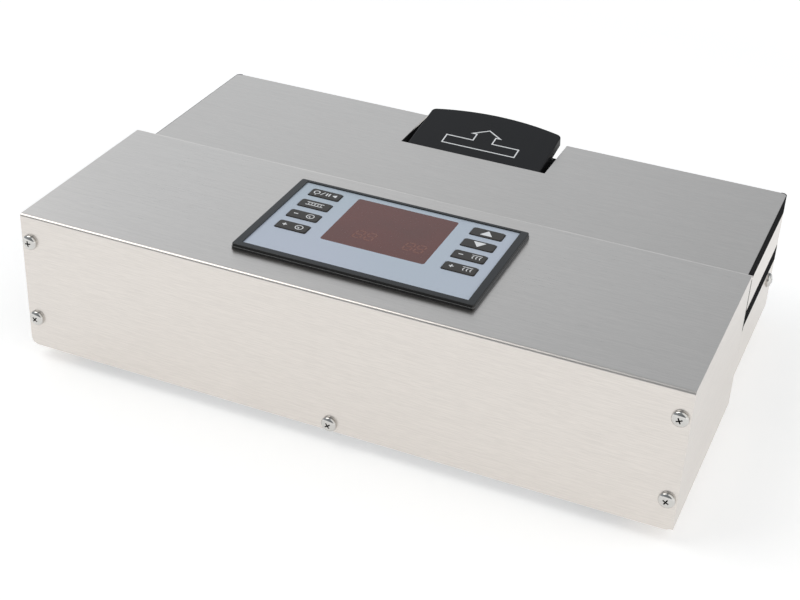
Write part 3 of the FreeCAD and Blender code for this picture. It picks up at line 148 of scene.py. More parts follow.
class NodeSheet(NodeBench):
    """The nodes of one material round its principled surface, on object coordinates."""

    def __init__(self, name: str) -> None:
        """Start a material with a plain principled surface.

        Args:
            name: Name of the material.
        """
        self.material = bpy.data.materials.new(name)
        self.material.use_nodes = True
        super().__init__(self.material.node_tree)
        self.tree.nodes.clear()
        self.surface = self.add("BsdfPrincipled", {})
        self.add("OutputMaterial", {"Surface": self.surface.outputs["BSDF"]})

    def set(self, **inputs: object) -> None:
        """Feed the surface's own inputs, named with an underscore for each blank."""
        self.feed(self.surface, {name.replace("_", " "): value for name, value in inputs.items()})

    def point(self, stretch: Point = (1.0, 1.0, 1.0)) -> NodeSocket:
        """Object coordinates in metres, times a stretch on each axis."""
        place = self.add("TexCoord", {}).outputs["Object"]
        return self.add("Mapping", {"Vector": place, "Scale": stretch}).outputs["Vector"]

    def noise(self, scale: float, detail: float = 3.0, rough: float = 0.55,
              stretch: Point = (1.0, 1.0, 1.0)) -> NodeSocket:
        """Noise from 0 to 1, by its cycles per metre, its octaves and the weight of the finer ones."""
        inputs = {"Vector": self.point(stretch), "Scale": scale, "Detail": detail, "Roughness": rough}
        return self.add("TexNoise", inputs).outputs["Fac"]

    def cells(self, scale: float) -> NodeSocket:
        """Distance to the nearest cell centre, for pores and flakes, by cells per metre."""
        return self.add("TexVoronoi", {"Vector": self.point(), "Scale": scale}).outputs["Distance"]

    def bands(self, direction: str, scale: float) -> NodeSocket:
        """Even sine bands across the axis X, Y or Z, by bands per unit."""
        inputs = {"Vector": self.point(), "Scale": scale}
        return self.add("TexWave", inputs, bands_direction=direction).outputs["Fac"]

    def weigh(self, first: NodeSocket, share: float, second: NodeSocket) -> NodeSocket:
        """Two factors added, the first with a share and the second with the rest."""
        return self.combine("ADD", self.spread(first, 0.0, share), self.spread(second, 0.0, 1.0 - share))

    def blend(self, factor: NodeSocket, low: Colour, high: Colour, span: Spot) -> None:
        """Colour the surface from low to high as a factor rises over a span."""
        self.set(Base_Color=self.ramp(factor, ((span[0], low), (span[1], high))))

    def vary(self, factor: NodeSocket, colour: Colour, low: float, high: float,
             span: Spot = (0.3, 0.7)) -> None:
        """Colour the surface between two shades of a colour as a factor rises over a span."""
        self.blend(factor, shade(colour, low), shade(colour, high), span)

    def polish(self, factor: NodeSocket, middle: float, below: float, above: float) -> None:
        """Let the roughness run from below to above its middle as a factor rises."""
        self.set(Roughness=self.spread(factor, middle - below, middle + above))

    def bump(self, height: NodeSocket, strength: float, depth: float) -> None:
        """Drive the normal with a height, by the share of it that shows and its depth in metres."""
        inputs = {"Height": height, "Strength": strength, "Distance": depth}
        self.set(Normal=self.add("Bump", inputs).outputs["Normal"])


class Grain(Enum):
    """Ways that a brushed grain can run."""

    ALONG_X = (36.0, 1500.0, 1500.0)
    ALONG_Y = (1500.0, 36.0, 1500.0)
    LEVEL = (36.0, 36.0, 1500.0)


@dataclass(frozen=True)
class Finish:
    """A named finish that makes its material once."""

    name: str
    colour: Colour
    roughness: float

    def material(self) -> Material:
        """Make the finish's material on first use, under a title that no slot of the frame has.

        Returns:
            The material.
        """
        title = f"{self.name}_finish"
        found = bpy.data.materials.get(title)
        if found:
            return found
        sheet = NodeSheet(title)
        self.dress(sheet)
        return sheet.material

    def dress(self, sheet: NodeSheet) -> None:
        """Add the finish's nodes to a sheet."""
        raise NotImplementedError


@dataclass(frozen=True)
class BrushedSteel(Finish):
    """Stainless sheet with fine brush lines and faint handling marks."""

    grain: Grain = Grain.ALONG_X
    contrast: float = 0.05
    streak: float = 0.06

    def dress(self, sheet: NodeSheet) -> None:
        """Streaks for colour, roughness and bump, and broad smudges in the roughness.

        Args:
            sheet: Sheet of the material.
        """
        lines = sheet.noise(scale=1.0, rough=0.5, stretch=self.grain.value)
        hair = sheet.noise(scale=4.3, detail=2.0, rough=0.5, stretch=self.grain.value)
        smudge = sheet.noise(scale=9.0, detail=4.0, rough=0.6)
        both = sheet.weigh(lines, 0.4, hair)
        streaky = sheet.spread(both, self.roughness - self.streak, self.roughness + self.streak)
        cloudy = sheet.spread(smudge, 0.9, 1.1)
        sheet.set(Metallic=1.0, Roughness=sheet.combine("MULTIPLY", streaky, cloudy))
        sheet.vary(both, self.colour, 1.0 - self.contrast, 1.0 + self.contrast, span=(0.41, 0.59))
        sheet.bump(both, strength=0.05, depth=0.00005)


@dataclass(frozen=True)
class BrightMetal(Finish):
    """Plated or polished metal with faint unevenness."""

    flake: float = 0.04

    def dress(self, sheet: NodeSheet) -> None:
        """Fine clouds in the colour and the roughness.

        Args:
            sheet: Sheet of the material.
        """
        cloud = sheet.noise(scale=420.0)
        fine = sheet.noise(scale=2600.0, detail=2.0)
        swing = self.roughness * 0.25
        sheet.set(Metallic=1.0)
        sheet.vary(cloud, self.colour, 1.0 - self.flake, 1.0)
        sheet.polish(fine, self.roughness, swing, swing)
        sheet.bump(cloud, strength=0.05, depth=0.00005)


@dataclass(frozen=True)
class SpangledZinc(Finish):
    """Zinc-plated sheet with soft spangles."""

    def dress(self, sheet: NodeSheet) -> None:
        """Cells for the spangle and noise for the dull bloom on it.

        Args:
            sheet: Sheet of the material.
        """
        spangle = sheet.cells(scale=160.0)
        bloom = sheet.noise(scale=60.0, detail=4.0)
        sheet.set(Metallic=0.9)
        sheet.vary(spangle, self.colour, 0.86, 1.06, span=(0.1, 0.8))
        sheet.polish(bloom, self.roughness, 0.08, 0.1)
        sheet.bump(bloom, strength=0.06, depth=0.0001)


@dataclass(frozen=True)
class CastMetal(Finish):
    """Rough casting."""

    def dress(self, sheet: NodeSheet) -> None:
        """Grains for the colour and the bump.

        Args:
            sheet: Sheet of the material.
        """
        grit = sheet.noise(scale=900.0, detail=4.0, rough=0.7)
        sheet.set(Metallic=0.85)
        sheet.vary(grit, self.colour, 0.85, 1.05)
        sheet.polish(grit, self.roughness, 0.1, 0.1)
        sheet.bump(grit, strength=0.3, depth=0.0001)


@dataclass(frozen=True)
class MouldedPlastic(Finish):
    """Moulded plastic with a fine spark-eroded texture."""

    texture: float = 0.15
    shine: float = 0.22
    coat: float = 0.0

    def dress(self, sheet: NodeSheet) -> None:
        """A fine texture in the bump, and slow clouds in colour and roughness.

        Args:
            sheet: Sheet of the material.
        """
        grain = sheet.noise(scale=2600.0, detail=2.0, rough=0.6)
        cloud = sheet.noise(scale=22.0, detail=4.0)
        sheet.set(Specular_IOR_Level=self.shine, Coat_Weight=self.coat, Coat_Roughness=0.12)
        sheet.vary(cloud, self.colour, 0.92, 1.08)
        sheet.polish(cloud, self.roughness, 0.04, 0.05)
        sheet.bump(grain, strength=self.texture, depth=0.00006)


@dataclass(frozen=True)
class SoftRubber(Finish):
    """Rubber, silicone or closed-cell foam."""

    pore_scale: float = 1500.0
    pore_depth: float = 0.2
    dust: float = 1.0

    def dress(self, sheet: NodeSheet) -> None:
        """Pores for the bump, and dust in the colour.

        Args:
            sheet: Sheet of the material.
        """
        pores = sheet.cells(self.pore_scale)
        dust = sheet.noise(scale=70.0, detail=5.0, rough=0.7)
        sheet.set(Specular_IOR_Level=0.3)
        sheet.vary(dust, self.colour, 1.0 - 0.15 * self.dust, 1.0 + 0.25 * self.dust)
        sheet.polish(dust, self.roughness, 0.06, 0.06)
        sheet.bump(pores, strength=self.pore_depth, depth=0.0002)


@dataclass(frozen=True)
class PrintedFilm(Finish):
    """Printed plastic film with a pearl-like tone."""

    lilac: Colour = (1.06, 0.98, 1.03)

    def dress(self, sheet: NodeSheet) -> None:
        """A slow drift of tone and a very fine satin texture.

        Args:
            sheet: Sheet of the material.
        """
        drift = sheet.noise(scale=1.0, detail=1.0, stretch=(6.0, 6.0, 1.0))
        speck = sheet.noise(scale=3200.0, detail=2.0)
        sheet.set(Specular_IOR_Level=0.5, Coat_Weight=0.15, Coat_Roughness=0.3)
        sheet.blend(drift, shade(self.colour, 0.95), tint(self.colour, self.lilac), span=(0.35, 0.65))
        sheet.polish(speck, self.roughness, 0.05, 0.05)
        sheet.bump(speck, strength=0.08, depth=0.00003)


@dataclass(frozen=True)
class TintedWindow(Finish):
    """Smoked red filter over the digits."""

    redder: Colour = (1.15, 0.92, 0.9)

    def dress(self, sheet: NodeSheet) -> None:
        """A slow change of depth in the tint under a glossy face.

        Args:
            sheet: Sheet of the material.
        """
        depth = sheet.noise(scale=1.0, detail=2.0, stretch=(16.0, 22.0, 1.0))
        haze = sheet.noise(scale=900.0)
        sheet.set(Specular_IOR_Level=0.5, Coat_Weight=0.2, Coat_Roughness=0.1)
        sheet.blend(depth, shade(self.colour, 0.88), tint(self.colour, self.redder), span=(0.35, 0.7))
        sheet.polish(haze, self.roughness, 0.04, 0.04)


@dataclass(frozen=True)
class Ink(Finish):
    """Screen-printed ink, a little uneven."""

    def dress(self, sheet: NodeSheet) -> None:
        """Thin spots in the print.

        Args:
            sheet: Sheet of the material.
        """
        thin = sheet.noise(scale=1800.0)
        sheet.set(Specular_IOR_Level=0.4)
        sheet.vary(thin, self.colour, 0.9, 1.0)
        sheet.polish(thin, self.roughness, 0.05, 0.05)


@dataclass(frozen=True)
class WovenTape(Finish):
    """Coated glass cloth with a visible weave."""

    pitch: float = 300.0

    def dress(self, sheet: NodeSheet) -> None:
        """Crossed bands for the weave, and scorch clouds.

        Args:
            sheet: Sheet of the material.
        """
        weave = sheet.combine("MULTIPLY", sheet.bands("X", self.pitch), sheet.bands("Y", self.pitch))
        scorch = sheet.noise(scale=35.0, detail=4.0)
        both = sheet.combine("ADD", sheet.spread(weave, 0.0, 0.4), sheet.spread(scorch, 0.1, 0.6))
        sheet.vary(both, self.colour, 0.75, 1.15, span=(0.25, 0.85))
        sheet.polish(weave, self.roughness, 0.08, 0.08)
        sheet.bump(weave, strength=0.35, depth=0.00008)


@dataclass(frozen=True)
class StripedStack(Finish):
    """Pressed laminations, or turns of tape or wire."""

    direction: str = "Y"
    pitch: float = 320.0
    metallic: float = 0.0

    def dress(self, sheet: NodeSheet) -> None:
        """Bands across the stack, and stains over them.

        Args:
            sheet: Sheet of the material.
        """
        turns = sheet.bands(self.direction, self.pitch)
        stain = sheet.noise(scale=45.0, detail=4.0)
        sheet.set(Metallic=self.metallic)
        sheet.vary(sheet.weigh(turns, 0.5, stain), self.colour, 0.7, 1.15, span=(0.25, 0.75))
        sheet.polish(stain, self.roughness, 0.08, 0.08)
        sheet.bump(turns, strength=0.4, depth=0.0002)


@dataclass(frozen=True)
class CircuitBoard(Finish):
    """Solder-masked board with a hint of tracks."""

    def dress(self, sheet: NodeSheet) -> None:
        """Blocky cells for the tracks under the mask.

        Args:
            sheet: Sheet of the material.
        """
        inputs = {"Vector": sheet.point(), "Scale": 120.0, "Mortar Size": 0.035}
        tracks = sheet.add("TexBrick", inputs).outputs["Fac"]
        cloud = sheet.noise(scale=50.0)
        sheet.vary(sheet.weigh(tracks, 0.6, cloud), self.colour, 1.0, 1.8, span=(0.1, 0.9))
        sheet.polish(cloud, self.roughness, 0.05, 0.05)
        sheet.bump(tracks, strength=0.2, depth=0.00005)


STEEL: Colour = (0.72, 0.68, 0.642)


class Finishes:
    """Every finish on the machine."""

    sheet_steel = BrushedSteel("sheet_steel", STEEL, 0.3)
    # The lid's steel is 5% darker than the cover's: painted shade for the tone step between lid and cover.
    lid_steel_painted_shade = BrushedSteel("lid_steel_painted_shade", shade(STEEL, 0.95), 0.32)
    side_steel = BrushedSteel("side_steel", STEEL, 0.3, Grain.ALONG_Y)
    band_steel = BrushedSteel("band_steel", STEEL, 0.3, Grain.LEVEL)
    screw_chrome = BrightMetal("screw_chrome", (0.62, 0.61, 0.59), 0.1)
    # Near-black metal in the screw's cross: painted shade for the dark of the recess.
    screw_recess_painted_shade = BrightMetal("screw_recess_painted_shade", (0.035, 0.033, 0.03), 0.45, 0.3)
    spring_steel = BrightMetal("spring_steel", (0.6, 0.6, 0.6), 0.25)
    zinc = SpangledZinc("zinc_sheet", (0.6, 0.61, 0.62), 0.42)
    black_plastic = MouldedPlastic("black_plastic", (0.026, 0.026, 0.027), 0.5, 0.2, 0.2)
    frame_plastic = MouldedPlastic("frame_plastic", (0.026, 0.026, 0.027), 0.8, 0.2, 0.0)
    handle_plastic = MouldedPlastic("handle_plastic", (0.011, 0.011, 0.012), 0.46, 0.16, 0.22)
    bezel_plastic = MouldedPlastic("bezel_plastic", (0.006, 0.0065, 0.007), 0.22, 0.05, 0.5)
    # Near-black strip on the seams beside the wall behind the lid: painted shade for the gap there.
    seam_painted_shade = MouldedPlastic("seam_painted_shade", (0.03, 0.028, 0.026), 0.7, 0.1, 0.05)
    # Mid grey on the bezel's ledge: a painted highlight for the thin bright line along its foot.
    bezel_lip_painted_highlight = MouldedPlastic("bezel_lip_painted_highlight", (0.14, 0.14, 0.14), 0.25, 0.05, 0.5)
    key_plastic = MouldedPlastic("key_plastic", (0.052, 0.048, 0.044), 0.36, 0.1, 0.2)
    switch_plastic = MouldedPlastic("switch_plastic", (0.014, 0.014, 0.015), 0.22, 0.05, 0.4, 0.2)
    component = MouldedPlastic("component_plastic", (0.05, 0.05, 0.055), 0.5)
    overlay = PrintedFilm("overlay_film", (0.5, 0.58, 0.66), 0.42)
    window = TintedWindow("window_filter", (0.12, 0.034, 0.025), 0.26)
    segment = Ink("digit_segment", (0.235, 0.095, 0.07), 0.3)
    ink = Ink("white_ink", (0.86, 0.87, 0.88), 0.45)
    foam = SoftRubber("gasket_foam", (0.05, 0.05, 0.052), 0.85, 1700.0, 0.45)
    rubber = SoftRubber("foot_rubber", (0.02, 0.02, 0.02), 0.75, 2600.0, 0.15)
    silicone = SoftRubber("silicone", (0.62, 0.61, 0.58), 0.5, 2600.0, 0.06, 0.2)
    tape = WovenTape("nonstick_tape", (0.42, 0.29, 0.16), 0.4)
    bar = BrushedSteel("bar_aluminium", (0.76, 0.76, 0.76), 0.4, contrast=0.04)
    element = BrushedSteel("element_alloy", (0.5, 0.48, 0.45), 0.4, contrast=0.06)
    casting = CastMetal("pump_casting", (0.62, 0.62, 0.62), 0.5)
    motor = BrightMetal("motor_shell", (0.55, 0.55, 0.55), 0.3)
    core = StripedStack("core_stack", (0.09, 0.09, 0.1), 0.55, metallic=0.4)
    winding = StripedStack("winding_tape", (0.55, 0.4, 0.08), 0.5, "Z", 120.0)
    board = CircuitBoard("circuit_board", (0.03, 0.13, 0.06), 0.4)
    valve = CastMetal("valve_shell", (0.3, 0.31, 0.33), 0.5)
    brass = BrightMetal("contact_brass", (0.75, 0.6, 0.32), 0.22)


# Piece making

class Axis(Enum):
    """Directions across which a mesh is parted."""

    Y = (0.0, 1.0, 0.0)
    Z = (0.0, 0.0, 1.0)


def placed(name: str, data: bpy.types.ID) -> Object:
    """Put a new object into the scene.

    Args:
        name: Name of the object.
        data: Mesh, lamp or camera that it shows.

    Returns:
        The object.
    """
    thing = bpy.data.objects.new(name, data)
    bpy.context.scene.collection.objects.link(thing)
    return thing


def bare_piece(mesh: BMesh, name: str) -> Object:
    """Make an object from a bmesh.

    Args:
        mesh: Finished bmesh, in the row frame; it is freed.
        name: Name of the object.

    Returns:
        The object, without a material.
    """
    data = bpy.data.meshes.new(name)
    mesh.to_mesh(data)
    mesh.free()
    return placed(name, data)


def piece_of(mesh: BMesh, name: str, finish: Finish, body: str,
             stands_for: Sequence[str] = (), angle: float = 35.0) -> Object:
    """Make an object from a bmesh, dress it and set it on its body.

    Args:
        mesh: Finished bmesh, in the row frame; it is freed.
        name: Name of the piece.
        finish: Finish of the piece.
        body: Body that it rides on.
        stands_for: CAD nodes that it replaces.
        angle: Edge angle up to which it is shaded smooth, in degrees.

    Returns:
        The new object.
    """
    piece = bare_piece(mesh, name)
    data = piece.data
    data.materials.append(finish.material())
    data.polygons.foreach_set("use_smooth", [True] * len(data.polygons))
    data.set_sharp_from_angle(angle=math.radians(angle))
    flat_faces = piece.modifiers.new("flat_faces", "WEIGHTED_NORMAL")
    flat_faces.keep_sharp = True
    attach(piece, body)
    if stands_for:
        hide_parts(*stands_for)
    LOG.info("piece %s on %s", name, body)
    return piece


def dress_node(node: str, finish: Finish) -> None:
    """Give a CAD node a finish.

    Args:
        node: Name of the node.
        finish: Finish for all of it.
    """
    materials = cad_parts[node].data.materials
    materials.clear()
    materials.append(finish.material())
    LOG.info("node %s in %s", node, finish.name)


def dress_where(piece: Object, finish: Finish, chosen: Callable[[MeshPolygon], bool]) -> None:
    """Give some faces of a piece a second finish.

    Args:
        piece: Mesh object.
        finish: Finish of the chosen faces.
        chosen: Test that picks them.
    """
    piece.data.materials.append(finish.material())
    for face in piece.data.polygons:
        face.material_index = int(chosen(face))


def node_copy(node: str) -> BMesh:
    """Copy a CAD node, with its corners merged and its flat faces whole.

    Args:
        node: Name of the node.

    Returns:
        The copy.
    """
    mesh = bmesh.new()
    mesh.from_mesh(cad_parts[node].data)
    bmesh.ops.remove_doubles(mesh, verts=mesh.verts, dist=MERGE)
    bmesh.ops.dissolve_limit(mesh, angle_limit=math.radians(FLAT), verts=mesh.verts, edges=mesh.edges)
    return mesh


def round_off(mesh: BMesh, geom: Sequence[Union[BMEdge, BMVert]], width: float, segments: int,
              affect: str) -> None:
    """Bevel edges or corners to a round profile, by its width in metres and its steps."""
    bmesh.ops.bevel(mesh, geom=geom, offset=width, offset_type="OFFSET", segments=segments, profile=0.5,
                    affect=affect, clamp_overlap=True, material=-1, loop_slide=affect == "EDGES")


def ease_edges(mesh: BMesh, width: float, segments: int = 2, least: float = 28.0,
               wanted: Callable[[BMEdge], bool] = lambda edge: True) -> None:
    """Round the sharp edges of a mesh.

    Args:
        mesh: Mesh to change.
        width: Width of the rounding in metres.
        segments: Steps in the rounding.
        least: Edges flatter than this stay, in degrees.
        wanted: Further test for an edge.
    """
    limit = math.radians(least)
    edges = [edge for edge in mesh.edges
             if len(edge.link_faces) == 2 and edge.calc_face_angle(0.0) > limit and wanted(edge)]
    round_off(mesh, edges, width, segments, "EDGES")


def eased_piece(node: str, finish: Finish, body: str, width: float, segments: int = 2) -> Object:
    """A CAD node's copy with eased edges, standing for the node.

    Args:
        node: Name of the node.
        finish: Finish of the piece.
        body: Body that it rides on.
        width: Width of the eased edge in metres.
        segments: Steps in it.

    Returns:
        The new object.
    """
    mesh = node_copy(node)
    ease_edges(mesh, width, segments)
    return piece_of(mesh, f"{node}_eased", finish, body, (node,))


def on_top(edge: BMEdge, height: float) -> bool:
    """Whether both ends of an edge lie at the height of a top."""
    return all(corner.co.z > height - TOUCH for corner in edge.verts)


def part(mesh: BMesh, axis: Axis, place: float, near: float = 0.0) -> None:
    """Part the faces of a mesh on the plane at a place of an axis, with both sides kept."""
    bmesh.ops.bisect_plane(mesh, geom=[*mesh.verts, *mesh.edges, *mesh.faces], dist=near,
                           plane_co=Vector(axis.value) * place, plane_no=axis.value)


def raise_faces(mesh: BMesh, height: float) -> None:
    """Make flat faces into a closed slab, upward.

    Args:
        mesh: Flat mesh to change.
        height: Thickness of the slab.
    """
    made = bmesh.ops.extrude_face_region(mesh, geom=list(mesh.faces), use_keep_orig=True)
    top = [item for item in made["geom"] if isinstance(item, BMVert)]
    bmesh.ops.translate(mesh, verts=top, vec=(0.0, 0.0, height))
    bmesh.ops.recalc_face_normals(mesh, faces=mesh.faces)


def rounded_plate(half: Spot, corner: float, low: float, high: float) -> BMesh:
    """Make a plate with round corners, about the origin.

    Args:
        half: Half of its size on X and on Y.
        corner: Radius of the corners.
        low: Height of its underside.
        high: Height of its top.

    Returns:
        The plate.
    """
    mesh = bmesh.new()
    bmesh.ops.create_grid(mesh, x_segments=1, y_segments=1, size=1.0)
    bmesh.ops.scale(mesh, verts=mesh.verts, vec=(*half, 1.0))
    round_off(mesh, list(mesh.verts), corner, segments=6, affect="VERTICES")
    bmesh.ops.translate(mesh, verts=mesh.verts, vec=(0.0, 0.0, low))
    raise_faces(mesh, high - low)
    return mesh


# Studio

@dataclass
class PhotoCamera:
    """Camera at the photograph's place, from a fit to the housing's edges."""

    position: Point = (-0.30269, 0.78560, 0.54114)
    right: Point = (-0.91714915, -0.39634679, 0.04179308)
    down: Point = (-0.24018944, 0.46600711, -0.85155528)
    forward: Point = (0.31803533, -0.79104146, -0.52259634)
    lens: float = 69.63
    sensor: float = 36.0

    def build(self) -> None:
        """Make the camera and set it as the scene's own."""
        data = bpy.data.cameras.new("photo_camera")
        data.lens = self.lens
        data.sensor_width = self.sensor
        camera = placed("photo_camera", data)
        axes = Matrix((self.right, -Vector(self.down), -Vector(self.forward)))
        camera.matrix_world = Matrix.Translation(self.position) @ axes.transposed().to_4x4()
        bpy.context.scene.camera = camera


@dataclass
class SoftBox:
    """One square studio lamp."""

    name: str
    place: Point
    aim: Point
    side: float
    power: float
    tint: Colour = (1.0, 1.0, 1.0)

    def build(self) -> None:
        """Make the lamp and turn it to its aim."""
        data = bpy.data.lights.new(self.name, "AREA")
        data.shape = "SQUARE"
        data.size = self.side
        data.energy = self.power
        data.color = self.tint
        lamp = placed(self.name, data)
        lamp.location = self.place
        lamp.rotation_euler = (Vector(self.aim) - Vector(self.place)).to_track_quat("-Z", "Y").to_euler()


@dataclass
class Studio:
    """Pale floor, soft lamps and a graded surround."""

    floor_half: float = 2.6
    floor_colour: Colour = (0.86, 0.855, 0.845)
    floor_glow: Spot = (0.38, 0.85)
    glow_reach: Spot = (0.6, 2.4)
    surround: Colour = (0.943, 1.0, 1.06)
    skyline: float = 1.0
    skyline_span: Spot = (0.0, 0.11)
    bearing: float = 34.0
    levels: Tuple[Spot, ...] = ((0.0, 0.95), (0.05, 0.8), (0.085, 0.64), (0.125, 0.48), (0.3, 0.42),
                                (0.7, 0.34), (0.86, 0.27), (1.0, 0.18))
    lamps: Tuple[SoftBox, ...] = (
        SoftBox("key_box", (1.3, 0.6, 2.1), (0.0, 0.0, 0.05), 1.6, 17.0, (1.0, 0.98, 0.95)),
        SoftBox("side_box", (-2.2, 0.7, 1.75), (0.0, 0.05, 0.0), 4.2, 45.0, (1.0, 0.98, 0.95)),
        SoftBox("left_box", (2.2, -1.1, 1.6), (0.0, -0.05, 0.05), 2.0, 3.0),
    )

    def build(self) -> None:
        """Make the floor, the lamps and the world."""
        mesh = bmesh.new()
        bmesh.ops.create_grid(mesh, x_segments=2, y_segments=2, size=self.floor_half)
        floor = bare_piece(mesh, "floor")
        floor.data.materials.append(self.paper())
        for lamp in self.lamps:
            lamp.build()
        self.backdrop()
        bpy.context.scene.view_settings.view_transform = "Standard"

    def paper(self) -> Material:
        """Make pale paper that keeps the shadow and turns white away from the machine.

        Returns:
            The floor's material.
        """
        sheet = NodeSheet("floor_paper")
        sheet.set(Specular_IOR_Level=0.1, Roughness=0.9, Emission_Color=(1.0, 1.0, 1.0, 1.0))
        sheet.vary(sheet.noise(scale=3.0, detail=2.0), self.floor_colour, 0.995, 1.0)
        away = sheet.add("VectorMath", {0: sheet.point()}, operation="LENGTH").outputs["Value"]
        glow = sheet.spread(away, *self.floor_glow, span=self.glow_reach)
        ray = sheet.add("LightPath", {}).outputs
        seen = sheet.combine("MAXIMUM", ray["Is Camera Ray"], ray["Is Glossy Ray"])
        through = sheet.combine("MAXIMUM", seen, ray["Is Transmission Ray"])
        sheet.set(Emission_Strength=sheet.combine("MULTIPLY", through, glow))
        return sheet.material

    def backdrop(self) -> None:
        """Make a surround that is pale on one bearing and low down, and dims round to the other side."""
        world = bpy.data.worlds.new("surround")
        world.use_nodes = True
        bench = NodeBench(world.node_tree)
        turn = (0.0, 0.0, math.radians(-self.bearing))
        view = bench.add("TexCoord", {}).outputs["Generated"]
        turned = bench.add("Mapping", {"Vector": view, "Rotation": turn}).outputs["Vector"]
        split = bench.add("SeparateXYZ", {"Vector": turned}).outputs
        round_about = bench.spread(split["Y"], 0.0, 1.0, span=(-1.0, 1.0))
        stops = [(place, shade(self.surround, level)) for place, level in self.levels]
        graded = bench.ramp(round_about, stops)
        low, high = self.skyline_span
        climb = {"Value": split["Z"], "From Min": low, "From Max": high}
        rise = bench.add("MapRange", climb, interpolation_type="SMOOTHSTEP").outputs["Result"]
        mix = bench.add("Mix", {"Factor": rise}, data_type="RGBA")
        near_floor, above = (socket for socket in mix.inputs if socket.type == "RGBA")
        near_floor.default_value = (self.skyline, self.skyline, self.skyline, 1.0)
        bench.tree.links.new(graded, above)
        blended = next(socket for socket in mix.outputs if socket.type == "RGBA")
        bench.feed(bench.tree.nodes["Background"], {"Color": blended})
        bpy.context.scene.world = world


# The machine

@dataclass
class Steelwork:
    """Folded housing, side panels, front shell and the lid's steel."""

    edge: float = 0.00022
    plate_edge: float = 0.0004
    seam: float = 0.0014
    seam_low: float = 0.062
    seam_top: float = 0.0968
    seam_facing: float = 0.3

    def build(self) -> None:
        """Ease the sheet edges, brush each sheet its own way and paint shade along the seams beside the
        wall behind the lid.
        """
        ends = ((Axis.Z, self.seam_low), (Axis.Z, self.seam_top))
        self.seamed("rear_cover", Finishes.sheet_steel, *ends)
        for panel in ("left_side_panel", "right_side_panel"):
            self.seamed(panel, Finishes.side_steel, (Axis.Y, self.seam), *ends)
        eased_piece("front_shell", Finishes.band_steel, "base", self.edge)
        # The lid plate's darker steel is painted shade.
        eased_piece("lid_top_plate", Finishes.lid_steel_painted_shade, "lid", self.plate_edge)
        eased_piece("lid_skirt", Finishes.band_steel, "lid", self.edge)

    def seamed(self, node: str, finish: Finish, *cuts: Tuple[Axis, float]) -> None:
        """Make a sheet with painted shade, a near-black strip, along the seam beside the wall behind the
        lid.

        Args:
            node: Name of the node.
            finish: Finish of the sheet.
            cuts: Axis and place of each line that parts the seam's faces from the rest.
        """
        mesh = node_copy(node)
        ease_edges(mesh, self.edge)
        for axis, place in cuts:
            part(mesh, axis, place)
        piece = piece_of(mesh, f"{node}_eased", finish, "base", (node,))
        # The seam's faces are painted near black, painted shade for the gap.
        dress_where(piece, Finishes.seam_painted_shade, self.on_seam)

    def on_seam(self, face: MeshPolygon) -> bool:
        """Whether a face lies on the seam at an end of the wall behind the lid, where shade is painted."""
        upright = self.seam_low < face.center.z < self.seam_top
        return upright and face.center.y < self.seam and abs(face.normal.x) > self.seam_facing


